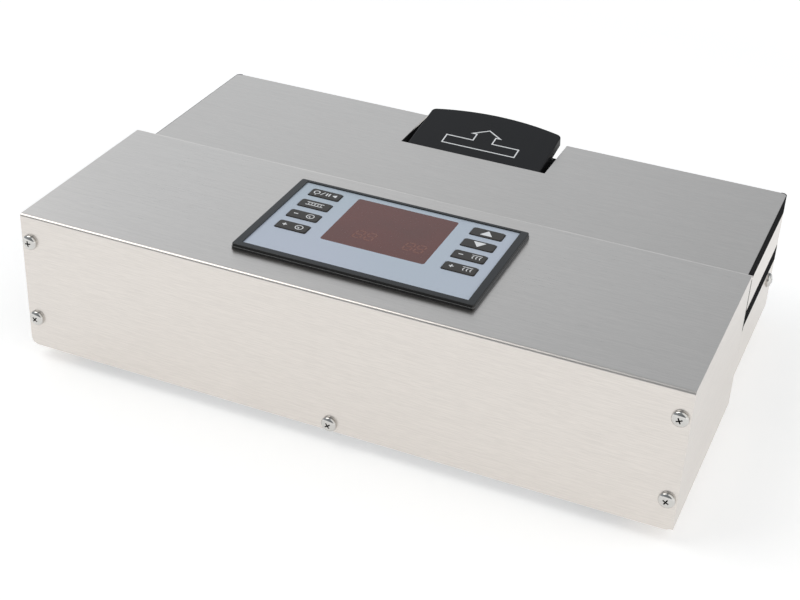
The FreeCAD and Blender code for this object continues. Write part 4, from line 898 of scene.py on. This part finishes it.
@dataclass
class ScrewSet:
    """Pan-head cross-recess screws."""

    head: float = 0.00475
    height: float = 0.003
    rim: float = 0.0011
    crown_step: float = 15.0
    crown_steps: int = 6
    under_share: float = 0.96
    foot_share: float = 0.3
    shank: float = 0.0025
    length: float = 0.008
    tip: float = 0.001
    tip_share: float = 0.6
    wing: float = 0.0029
    slot: float = 0.00105
    depth: float = 0.0019
    taper: Point = (0.35, 0.6, 1.0)
    skin_share: float = 0.96
    steps: int = 40
    weld: float = 1e-6
    smooth_angle: float = 32.0
    turns: Tuple[float, ...] = (24.0, 61.0, 8.0, 49.0, 35.0)
    rear: Tuple[Spot, ...] = ((-0.1973, 0.0828), (-0.1973, 0.03), (0.1973, 0.0828), (0.1973, 0.03),
                              (0.0, 0.0149))
    rear_y: float = 0.132
    side_x: float = 0.199
    side: Spot = (-0.108, 0.0383)

    def blank(self) -> BMesh:
        """Turn a screw without its recess, along +Z.

        Returns:
            The turned blank.
        """
        mesh = bmesh.new()
        rise = self.height - self.rim
        turns = [math.radians(step * self.crown_step) for step in range(self.crown_steps)]
        crown = [(self.head * math.cos(turn), self.rim + rise * math.sin(turn)) for turn in turns]
        outline = [(0.0, -self.length), (self.shank * self.tip_share, -self.length),
                   (self.shank, self.tip - self.length), (self.shank, 0.0),
                   (self.head * self.under_share, 0.0), (self.head, self.rim * self.foot_share), *crown,
                   (0.0, self.height)]
        corners = [mesh.verts.new((across, 0.0, up)) for across, up in outline]
        edges = [mesh.edges.new(pair) for pair in zip(corners, corners[1:])]
        bmesh.ops.spin(mesh, geom=[*corners, *edges], cent=(0.0, 0.0, 0.0), axis=Axis.Z.value,
                       angle=math.tau, steps=self.steps, use_merge=True)
        bmesh.ops.remove_doubles(mesh, verts=mesh.verts, dist=self.weld)
        bmesh.ops.recalc_face_normals(mesh, faces=mesh.faces)
        return mesh

    def cutter(self) -> BMesh:
        """Make the tapered cross that is driven into the head.

        Returns:
            The cross.
        """
        mesh = bmesh.new()
        for quarter in (0.0, math.pi / 2):
            made = bmesh.ops.create_cube(mesh, size=1.0)["verts"]
            bmesh.ops.scale(mesh, verts=made, vec=(self.wing * 2, self.slot, self.depth * 2))
            low = [corner for corner in made if corner.co.z < 0.0]
            bmesh.ops.scale(mesh, verts=low, vec=self.taper)
            turn = Matrix.Rotation(quarter, 3, "Z")
            bmesh.ops.rotate(mesh, verts=made, cent=(0.0, 0.0, 0.0), matrix=turn)
        bmesh.ops.translate(mesh, verts=mesh.verts, vec=(0.0, 0.0, self.height))
        return mesh

    def screw(self) -> bpy.types.Mesh:
        """Make one finished screw, along +Z.

        Returns:
            The mesh of the screw.
        """
        blank = bare_piece(self.blank(), "screw_blank")
        cross = bare_piece(self.cutter(), "screw_cross")
        recess = blank.modifiers.new("recess", "BOOLEAN")
        recess.object = cross
        recess.operation = "DIFFERENCE"
        recess.solver = "EXACT"
        recess.use_self = True
        graph = bpy.context.evaluated_depsgraph_get()
        made = bpy.data.meshes.new_from_object(blank.evaluated_get(graph))
        for used in (blank, cross):
            bpy.data.objects.remove(used)
        # Faces in the cross take the second slot, painted shade for the recess.
        for face in made.polygons:
            face.material_index = int(self.in_recess(face.center))
        return made

    def in_recess(self, middle: Vector) -> bool:
        """Whether a face of the screw lies in the cross, where shade is painted.

        Args:
            middle: Middle of the face.

        Returns:
            True for a wall or the floor of the cross.
        """
        reach = math.hypot(middle.x, middle.y)
        crown = math.sqrt(max(0.0, 1.0 - (reach / self.head) ** 2))
        skin = self.rim + (self.height - self.rim) * crown
        return reach < self.wing and 0.0 < middle.z < skin * self.skin_share

    def row(self, name: str, node: str, places: Sequence[Matrix]) -> None:
        """Set screws at places, as one piece.

        Args:
            name: Name of the piece.
            node: CAD node that it stands for.
            places: Where each screw goes.
        """
        screw = self.screw()
        mesh = bmesh.new()
        for place, turn in zip(places, self.turns):
            before = set(mesh.verts)
            mesh.from_mesh(screw)
            fresh = [corner for corner in mesh.verts if corner not in before]
            spun = place @ Matrix.Rotation(math.radians(turn), 4, "Z")
            bmesh.ops.transform(mesh, matrix=spun, verts=fresh)
        piece = piece_of(mesh, name, Finishes.screw_chrome, "base", (node,),
                         self.smooth_angle)
        # The second slot is the near-black painted shade in the recesses.
        piece.data.materials.append(Finishes.screw_recess_painted_shade.material())

    def build(self) -> None:
        """Set the rear and the side screws."""
        outward = Matrix.Rotation(math.radians(-90.0), 4, "X")
        rear = [Matrix.Translation((across, self.rear_y, up)) @ outward for across, up in self.rear]
        self.row("cover_screw_set", "cover_screws", rear)
        sides = []
        for sign in (-1.0, 1.0):
            facing = Matrix.Rotation(math.radians(90.0 * sign), 4, "Y")
            sides.append(Matrix.Translation((sign * self.side_x, *self.side)) @ facing)
        self.row("side_screw_set", "side_screws", sides)


def flat_place(middle: Spot, turn: float) -> Matrix:
    """A turn about Z in degrees, and then a move to a middle."""
    return Matrix.Translation((*middle, 0.0)) @ Matrix.Rotation(math.radians(turn), 4, "Z")


@dataclass(frozen=True)
class Bar:
    """Straight bar of a sign, by its middle, its length and width, and its turn in degrees."""

    middle: Spot
    size: Spot
    turn: float = 0.0

    def draw(self, mesh: BMesh) -> None:
        """Add the bar to a flat mesh."""
        shape = flat_place(self.middle, self.turn) @ Matrix.Diagonal((*self.size, 1.0, 1.0))
        bmesh.ops.create_grid(mesh, x_segments=1, y_segments=1, size=0.5, matrix=shape)


@dataclass(frozen=True)
class Wedge(Bar):
    """Triangle with blunt corners, by its base and height, pointing to +Y before its turn."""

    blunt: float = 0.0005

    def draw(self, mesh: BMesh) -> None:
        """Add the triangle to a flat mesh.

        Args:
            mesh: Mesh to add to.
        """
        wide, tall = (length / 2 for length in self.size)
        outline = ((-wide, -tall, 0.0), (wide, -tall, 0.0), (0.0, tall, 0.0))
        corners = [mesh.verts.new(corner) for corner in outline]
        mesh.faces.new(corners)
        bmesh.ops.transform(mesh, matrix=flat_place(self.middle, self.turn), verts=corners)
        round_off(mesh, corners, self.blunt, segments=3, affect="VERTICES")


@dataclass(frozen=True)
class Ring:
    """Ring of a sign, by its middle, its outer radius and the width of its line."""

    middle: Spot
    radius: float
    line: float
    steps: int = 28

    def draw(self, mesh: BMesh) -> None:
        """Add the ring to a flat mesh.

        Args:
            mesh: Mesh to add to.
        """
        edges = []
        for reach in (self.radius, self.radius - self.line):
            made = bmesh.ops.create_circle(mesh, cap_ends=False, segments=self.steps, radius=reach)["verts"]
            bmesh.ops.translate(mesh, verts=made, vec=(*self.middle, 0.0))
            edges += dict.fromkeys(edge for corner in made for edge in corner.link_edges)
        bmesh.ops.bridge_loops(mesh, edges=edges)


Stroke = Union[Bar, Ring]


class Mark(Enum):
    """Plain signs on the keys."""

    TOWARD_FRONT = (Wedge((0.0, 0.0), (0.0078, 0.0058), 180.0),)
    TOWARD_REAR = (Wedge((0.0, 0.0), (0.0078, 0.0058)),)
    LESS = (Bar((0.0052, 0.0), (0.0028, LINE)),)
    MORE = (Bar((0.0052, 0.0), (0.0028, LINE)), Bar((0.0052, 0.001), (LINE, 0.0009)),
            Bar((0.0052, -0.001), (LINE, 0.0009)))
    START = (Wedge((-0.0058, 0.0), (0.0034, 0.003), -90.0), Bar((-0.0026, 0.0), (LINE, 0.0034)),
             Bar((-0.0009, 0.0), (LINE, 0.0034)), Bar((0.0018, 0.0), (FINE, 0.0044), -24.0),
             Ring((0.0058, -0.0001), 0.0021, MEDIUM), Bar((0.0058, 0.0022), (MEDIUM, 0.0018)))
    SEAL = (Bar((0.0, 0.0016), (0.0112, MEDIUM)), Bar((0.0, -0.0016), (0.0112, MEDIUM)),
            *(Bar((across, 0.0), (FINE, 0.0017)) for across in (-0.004, -0.002, 0.0, 0.002, 0.004)))


class Badge(Enum):
    """Small pictures beside a less or more sign."""

    NONE = ()
    CLOCK = (Ring((-0.0042, 0.0), 0.0026, FINE), Bar((-0.0042, 0.0007), (FINE, 0.0016)),
             Bar((-0.0036, 0.0), (0.0014, FINE)))
    HEAT = (*(Bar((across, up), (FINE, 0.0017), turn) for across in (-0.0066, -0.0044, -0.0022)
              for up, turn in ((0.0011, 22.0), (-0.0004, -22.0))), Bar((-0.0042, -0.0022), (0.0062, FINE)))


def printed(strokes: Sequence[Stroke], thickness: float = PRINT) -> BMesh:
    """Draw strokes flat about the origin and give them a thickness.

    Args:
        strokes: What to draw.
        thickness: Thickness of the print, upward.

    Returns:
        The print.
    """
    mesh = bmesh.new()
    for stroke in strokes:
        stroke.draw(mesh)
    raise_faces(mesh, thickness)
    return mesh


@dataclass
class ControlPanel:
    """Bezel, printed overlay, display window and the eight keys."""

    key_half: Spot = (0.010, 0.0045)
    key_corner: float = 0.0019
    key_round: float = 0.00045
    key_sharp: float = 60.0
    key_smooth: float = 50.0
    key_low: float = 0.1006
    key_top: float = 0.1033
    key_across: float = 0.0525
    key_first: float = 0.0312
    key_pitch: float = 0.01483
    window_half: Spot = (0.0326, 0.0276)
    window_middle: Spot = (0.0, 0.0532)
    window_corner: float = 0.0017
    carrier_corner: float = 0.0002
    window_low: float = 0.1019
    window_film: float = 0.00004
    window_top: float = 0.1027
    bezel_top: float = 0.1035
    bezel_middle: Spot = (0.0, 0.0645)
    bezel_inner: float = 0.0705
    bezel_span: Spot = (0.0205, 0.1075)
    bezel_rim: float = 0.0004
    rim_sharp: float = 40.0
    bezel_edge: float = 0.0002
    edge_sharp: float = 50.0
    flange_top: float = 0.1016
    flange_rise: float = 0.0001
    flange_near: float = 1e-7
    flange_step: Spot = (0.996, 0.9935)
    ledge_reach: float = 0.0003
    ledge_facing: float = 0.3
    digit_half: Spot = (0.0024, 0.0043)
    digit_share: Spot = (1.5, 0.72)
    digit_line: float = 0.0009
    digit_lean: float = 0.12
    digit_turn: float = -7.0
    digit_y: float = 0.0657
    digit_x: Tuple[float, ...] = (-0.0241, -0.0172, 0.0072, 0.0144)
    digit_print: float = 0.00002
    keys: Tuple[Tuple[str, float, int, Mark, Badge], ...] = (
        ("key_down", -1.0, 0, Mark.TOWARD_FRONT, Badge.NONE),
        ("key_up", -1.0, 1, Mark.TOWARD_REAR, Badge.NONE),
        ("key_vacuum_less", -1.0, 2, Mark.LESS, Badge.HEAT),
        ("key_vacuum_more", -1.0, 3, Mark.MORE, Badge.HEAT),
        ("key_start", 1.0, 0, Mark.START, Badge.NONE),
        ("key_seal", 1.0, 1, Mark.SEAL, Badge.NONE),
        ("key_seal_less", 1.0, 2, Mark.LESS, Badge.CLOCK),
        ("key_seal_more", 1.0, 3, Mark.MORE, Badge.CLOCK),
    )

    def key(self, name: str, place: Spot, strokes: Sequence[Stroke]) -> None:
        """Make one crowned key and print its signs on it.

        Args:
            name: CAD node and body of the key.
            place: Middle of the key.
            strokes: Its signs.
        """
        cap = rounded_plate(self.key_half, self.key_corner, self.key_low, self.key_top)
        ease_edges(cap, self.key_round, 3, self.key_sharp, lambda edge: on_top(edge, self.key_top))
        bmesh.ops.translate(cap, verts=cap.verts, vec=(*place, 0.0))
        piece_of(cap, f"{name}_cap", Finishes.key_plastic, name, (name,), self.key_smooth)
        sign = printed(strokes)
        bmesh.ops.translate(sign, verts=sign.verts, vec=(*place, self.key_top))
        piece_of(sign, f"{name}_sign", Finishes.ink, name)

    def is_outside(self, corner: BMVert) -> bool:
        """Whether a corner lies outside the bezel's inner edge."""
        near, far = self.bezel_span
        return abs(corner.co.x) > self.bezel_inner or corner.co.y < near or corner.co.y > far

    def is_outer_rim(self, edge: BMEdge) -> bool:
        """Whether an edge runs round the outside of the bezel's top."""
        return on_top(edge, self.bezel_top) and all(self.is_outside(corner) for corner in edge.verts)

    def on_ledge(self, face: MeshPolygon) -> bool:
        """Whether a face lies on the narrow ledge round the bezel, which carries a painted highlight."""
        level = abs(face.center.z - self.flange_top) < self.ledge_reach
        return level and face.normal.z > self.ledge_facing

    def flange(self, mesh: BMesh) -> None:
        """Step the bezel in above its foot, so that a low flange stays round it.

        Args:
            mesh: Copy of the bezel.
        """
        for height in (self.flange_top, self.flange_top + self.flange_rise):
            part(mesh, Axis.Z, height, near=self.flange_near)
        foot = self.flange_top + self.flange_rise / 2
        upper = [corner for corner in mesh.verts if corner.co.z > foot and self.is_outside(corner)]
        across, along = self.bezel_middle
        bmesh.ops.scale(mesh, verts=upper, vec=(*self.flange_step, 1.0),
                        space=Matrix.Translation((-across, -along, 0.0)))

    def bezel(self) -> None:
        """Step the bezel in, ease its outer rim and its other edges, and paint a highlight on its ledge."""
        mesh = node_copy("control_bezel")
        self.flange(mesh)
        ease_edges(mesh, self.bezel_rim, 3, self.rim_sharp, self.is_outer_rim)
        ease_edges(mesh, self.bezel_edge, 2, self.edge_sharp)
        piece = piece_of(mesh, "panel_bezel", Finishes.bezel_plastic, "base",
                         ("control_bezel",))
        # The ledge takes a lighter grey, a painted highlight.
        dress_where(piece, Finishes.bezel_lip_painted_highlight, self.on_ledge)

    def window(self) -> None:
        """Make the carrier and, on it, the red film with round corners."""
        film_low = self.window_top - self.window_film
        carrier = rounded_plate(self.window_half, self.carrier_corner, self.window_low, film_low)
        film = rounded_plate(self.window_half, self.window_corner, film_low, self.window_top)
        for mesh in (carrier, film):
            bmesh.ops.translate(mesh, verts=mesh.verts, vec=(*self.window_middle, 0.0))
        piece_of(carrier, "window_carrier", Finishes.overlay, "base")
        piece_of(film, "window_film", Finishes.window, "base", ("display_window",))

    def segments(self) -> None:
        """Print the unlit digit segments that show in the window."""
        strokes = []
        wide, tall = self.digit_half
        level = (wide * self.digit_share[0], self.digit_line)
        upright = (self.digit_line, tall * self.digit_share[1])
        for across in self.digit_x:
            for up in (-tall, 0.0, tall):
                strokes.append(Bar((across + up * self.digit_lean, self.digit_y + up), level))
            for side in (-wide, wide):
                for up in (-tall / 2, tall / 2):
                    middle = (across + side + up * self.digit_lean, self.digit_y + up)
                    strokes.append(Bar(middle, upright, self.digit_turn))
        mesh = printed(strokes, self.digit_print)
        bmesh.ops.translate(mesh, verts=mesh.verts, vec=(0.0, 0.0, self.window_top))
        piece_of(mesh, "digit_segments", Finishes.segment, "base")

    def build(self) -> None:
        """Make the panel's pieces."""
        self.bezel()
        dress_node("control_overlay", Finishes.overlay)
        self.window()
        self.segments()
        for name, side, row, mark, badge in self.keys:
            place = (side * self.key_across, self.key_first + row * self.key_pitch)
            self.key(name, place, (*mark.value, *badge.value))


@dataclass
class PressHandle:
    """Sprung paddle with its printed arrow, and the leaf springs under it."""

    pivot: Point = (0.0, -0.0863, 0.0866)
    tilt: float = 9.5
    face: float = 0.0052
    half: float = 0.0465
    chord: float = 0.038
    corner: float = 0.0026
    rim: float = 0.0009
    edge: float = 0.0003
    edge_sharp: float = 35.0
    smooth_angle: float = 40.0
    upright: float = 0.99
    line: float = 0.0009
    outline: Tuple[Spot, ...] = (
        (0.0260, -0.0058), (-0.0260, -0.0058), (-0.0260, -0.0158), (-0.0072, -0.0158), (-0.0072, -0.0224),
        (-0.0112, -0.0224), (0.0, -0.0300), (0.0112, -0.0224), (0.0072, -0.0224), (0.0072, -0.0158),
        (0.0260, -0.0158))
    spring_edge: float = 0.0001
    spring_floor: float = 0.0808
    spring_keep: float = 0.5

    def local(self) -> Matrix:
        """From the paddle's flat frame about its pivot to the row frame."""
        return Matrix.Translation(self.pivot) @ Matrix.Rotation(math.radians(-self.tilt), 4, "X")

    def is_front_corner(self, edge: BMEdge) -> bool:
        """Whether an edge is one of the two upright front corners, in the flat frame.

        Args:
            edge: Edge to test.

        Returns:
            True for a front corner.
        """
        low, high = (corner.co for corner in edge.verts)
        upright = abs((high - low).normalized().z) > self.upright
        return upright and low.y < -self.chord and abs(low.x) > self.half - TOUCH

    def paddle(self) -> None:
        """Round the paddle's front corners and its rim."""
        mesh = node_copy("press_handle")
        place = self.local()
        bmesh.ops.transform(mesh, matrix=place.inverted(), verts=mesh.verts)
        ease_edges(mesh, self.corner, segments=6, wanted=self.is_front_corner)
        ease_edges(mesh, self.rim, segments=4, wanted=lambda edge: on_top(edge, self.face))
        ease_edges(mesh, self.edge, 2, self.edge_sharp)
        bmesh.ops.transform(mesh, matrix=place, verts=mesh.verts)
        piece_of(mesh, "press_paddle", Finishes.handle_plastic, "handle",
                 ("press_handle",), self.smooth_angle)

    def arrow(self) -> None:
        """Print the outline of a plain arrow on a bar on the paddle."""
        mesh = bmesh.new()
        corners = [mesh.verts.new((*spot, 0.0)) for spot in self.outline]
        face = mesh.faces.new(corners)
        mesh.normal_update()
        inner = bmesh.ops.inset_region(mesh, faces=[face], thickness=self.line, use_even_offset=True,
                                       use_boundary=True)
        kept = set(inner["faces"])
        bmesh.ops.delete(mesh, geom=[f for f in mesh.faces if f not in kept], context="FACES_ONLY")
        bmesh.ops.recalc_face_normals(mesh, faces=mesh.faces)
        raise_faces(mesh, PRINT)
        bmesh.ops.translate(mesh, verts=mesh.verts, vec=(0.0, 0.0, self.face))
        bmesh.ops.transform(mesh, matrix=self.local(), verts=mesh.verts)
        piece_of(mesh, "paddle_arrow", Finishes.ink, "handle")

    def springs(self) -> None:
        """Make the leaf springs under the paddle, on a mesh of their own."""
        mesh = node_copy("handle_springs")
        ease_edges(mesh, self.spring_edge)
        piece = piece_of(mesh, "leaf_springs", Finishes.spring_steel, "lid",
                         ("handle_springs",))
        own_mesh(piece)

    def build(self) -> None:
        """Make the paddle, its print and its springs."""
        self.paddle()
        self.arrow()
        self.springs()
        dress_node("handle_pin", Finishes.spring_steel)


@dataclass
class SealingJaws:
    """Lid frame and pan above, deck, gaskets and sealing bar below."""

    mould_edge: float = 0.0005
    foam_edge: float = 0.0016
    port_edge: float = 0.0004
    plunger_edge: float = 0.0006
    wall_facing: float = 0.5

    def build(self) -> None:
        """Make both jaws."""
        eased_piece("lid_frame", Finishes.frame_plastic, "lid", self.mould_edge)
        eased_piece("lid_pan", Finishes.black_plastic, "lid", self.mould_edge)
        eased_piece("upper_gasket", Finishes.foam, "lid", self.foam_edge, 4)
        eased_piece("pressure_strip", Finishes.silicone, "lid", self.mould_edge, 3)
        deck = eased_piece("lower_deck", Finishes.black_plastic, "base", self.mould_edge)
        dress_where(deck, Finishes.frame_plastic, lambda face: abs(face.normal.z) < self.wall_facing)
        eased_piece("lower_gasket", Finishes.foam, "base", self.foam_edge, 4)
        dress_node("seal_bar", Finishes.bar)
        dress_node("heating_element", Finishes.element)
        dress_node("nonstick_tape", Finishes.tape)
        eased_piece("chamber_ports", Finishes.black_plastic, "base", self.port_edge)
        eased_piece("lid_switch_plunger", Finishes.switch_plastic, "switch_plunger",
                    self.plunger_edge, 3)
        dress_node("lid_switch", Finishes.component)
        dress_node("hinge_pins", Finishes.spring_steel)
        dress_node("hinge_arms", Finishes.zinc)


@dataclass
class MainsCorner:
    """Mains inlet and rocker switch in the right side."""

    pivot: Point = (0.1972, 0.1, 0.07)
    tilt: float = 10.0
    valley: float = 0.0032
    rise: float = 0.171
    mould_edge: float = 0.0004
    fine_edge: float = 0.0003
    mark_reach: float = 0.0042
    mark_line: float = 0.0007
    mark_half: float = 0.0018

    def on_face(self, side: float) -> Matrix:
        """Find one sloping face of the rocker.

        Args:
            side: -1 or 1, for the face towards the front or the rear.

        Returns:
            The way from a flat sign to its place on the face.
        """
        outward = Vector((1.0, -side * self.rise, 0.0)).normalized()
        up = Vector(Axis.Z.value)
        axes = Matrix((up.cross(outward), up, outward)).transposed().to_4x4()
        spot = (self.valley + self.rise * self.mark_reach, side * self.mark_reach, 0.0)
        turned = Matrix.Translation(self.pivot) @ Matrix.Rotation(math.radians(self.tilt), 4, "Z")
        return turned @ Matrix.Translation(spot) @ axes

    def marks(self) -> None:
        """Print the on and off signs on the rocker's two faces."""
        on_sign = Bar((0.0, 0.0), (self.mark_line, self.mark_half * 2))
        off_sign = Ring((0.0, 0.0), self.mark_half, self.mark_line)
        for side, name, sign in ((-1.0, "rocker_on_mark", on_sign), (1.0, "rocker_off_mark", off_sign)):
            mesh = printed((sign,))
            bmesh.ops.transform(mesh, matrix=self.on_face(side), verts=mesh.verts)
            piece_of(mesh, name, Finishes.ink, "rocker")

    def build(self) -> None:
        """Make the inlet and the switch."""
        eased_piece("mains_inlet", Finishes.black_plastic, "base", self.mould_edge)
        eased_piece("inlet_blades", Finishes.brass, "base", self.fine_edge)
        eased_piece("switch_housing", Finishes.black_plastic, "base", self.mould_edge)
        eased_piece("power_rocker", Finishes.switch_plastic, "rocker", self.fine_edge, 3)
        self.marks()


@dataclass
class Underside:
    """Bottom pan, feet and their screws."""

    foot_edge: float = 0.0008

    def build(self) -> None:
        """Finish what the machine stands on."""
        dress_node("chassis_pan", Finishes.zinc)
        eased_piece("rubber_feet", Finishes.rubber, "base", self.foot_edge, 3)
        dress_node("foot_screws", Finishes.screw_chrome)


@dataclass
class InnerWorks:
    """Pump, valve, transformer and boards inside the housing."""

    def table(self) -> Dict[str, Finish]:
        """List the inner nodes.

        Returns:
            The finish of each node.
        """
        return {
            "pump_motor": Finishes.motor, "pump_head": Finishes.casting, "pump_rotor": Finishes.component,
            "pump_base": Finishes.zinc, "pump_grommets": Finishes.rubber, "vacuum_hoses": Finishes.silicone,
            "transformer_core": Finishes.core, "transformer_winding": Finishes.winding,
            "transformer_strap": Finishes.zinc, "power_board": Finishes.board,
            "board_standoffs": Finishes.component, "board_components": Finishes.component,
            "heat_sink": Finishes.bar, "release_valve": Finishes.valve,
            "valve_plunger": Finishes.spring_steel, "digit_display": Finishes.component,
            "display_board": Finishes.board,
        }

    def build(self) -> None:
        """Finish every inner node."""
        for node, finish in self.table().items():
            dress_node(node, finish)


def main() -> None:
    """Build the studio and then the machine, one sub-assembly after another."""
    logging.basicConfig(level=logging.INFO, format="%(message)s")
    builders = (PhotoCamera(), Studio(), Steelwork(), ScrewSet(), ControlPanel(), PressHandle(),
                SealingJaws(), MainsCorner(), Underside(), InnerWorks())
    for builder in builders:
        builder.build()
        LOG.info("built %s", type(builder).__name__)


if __name__ == "__main__":
    main()
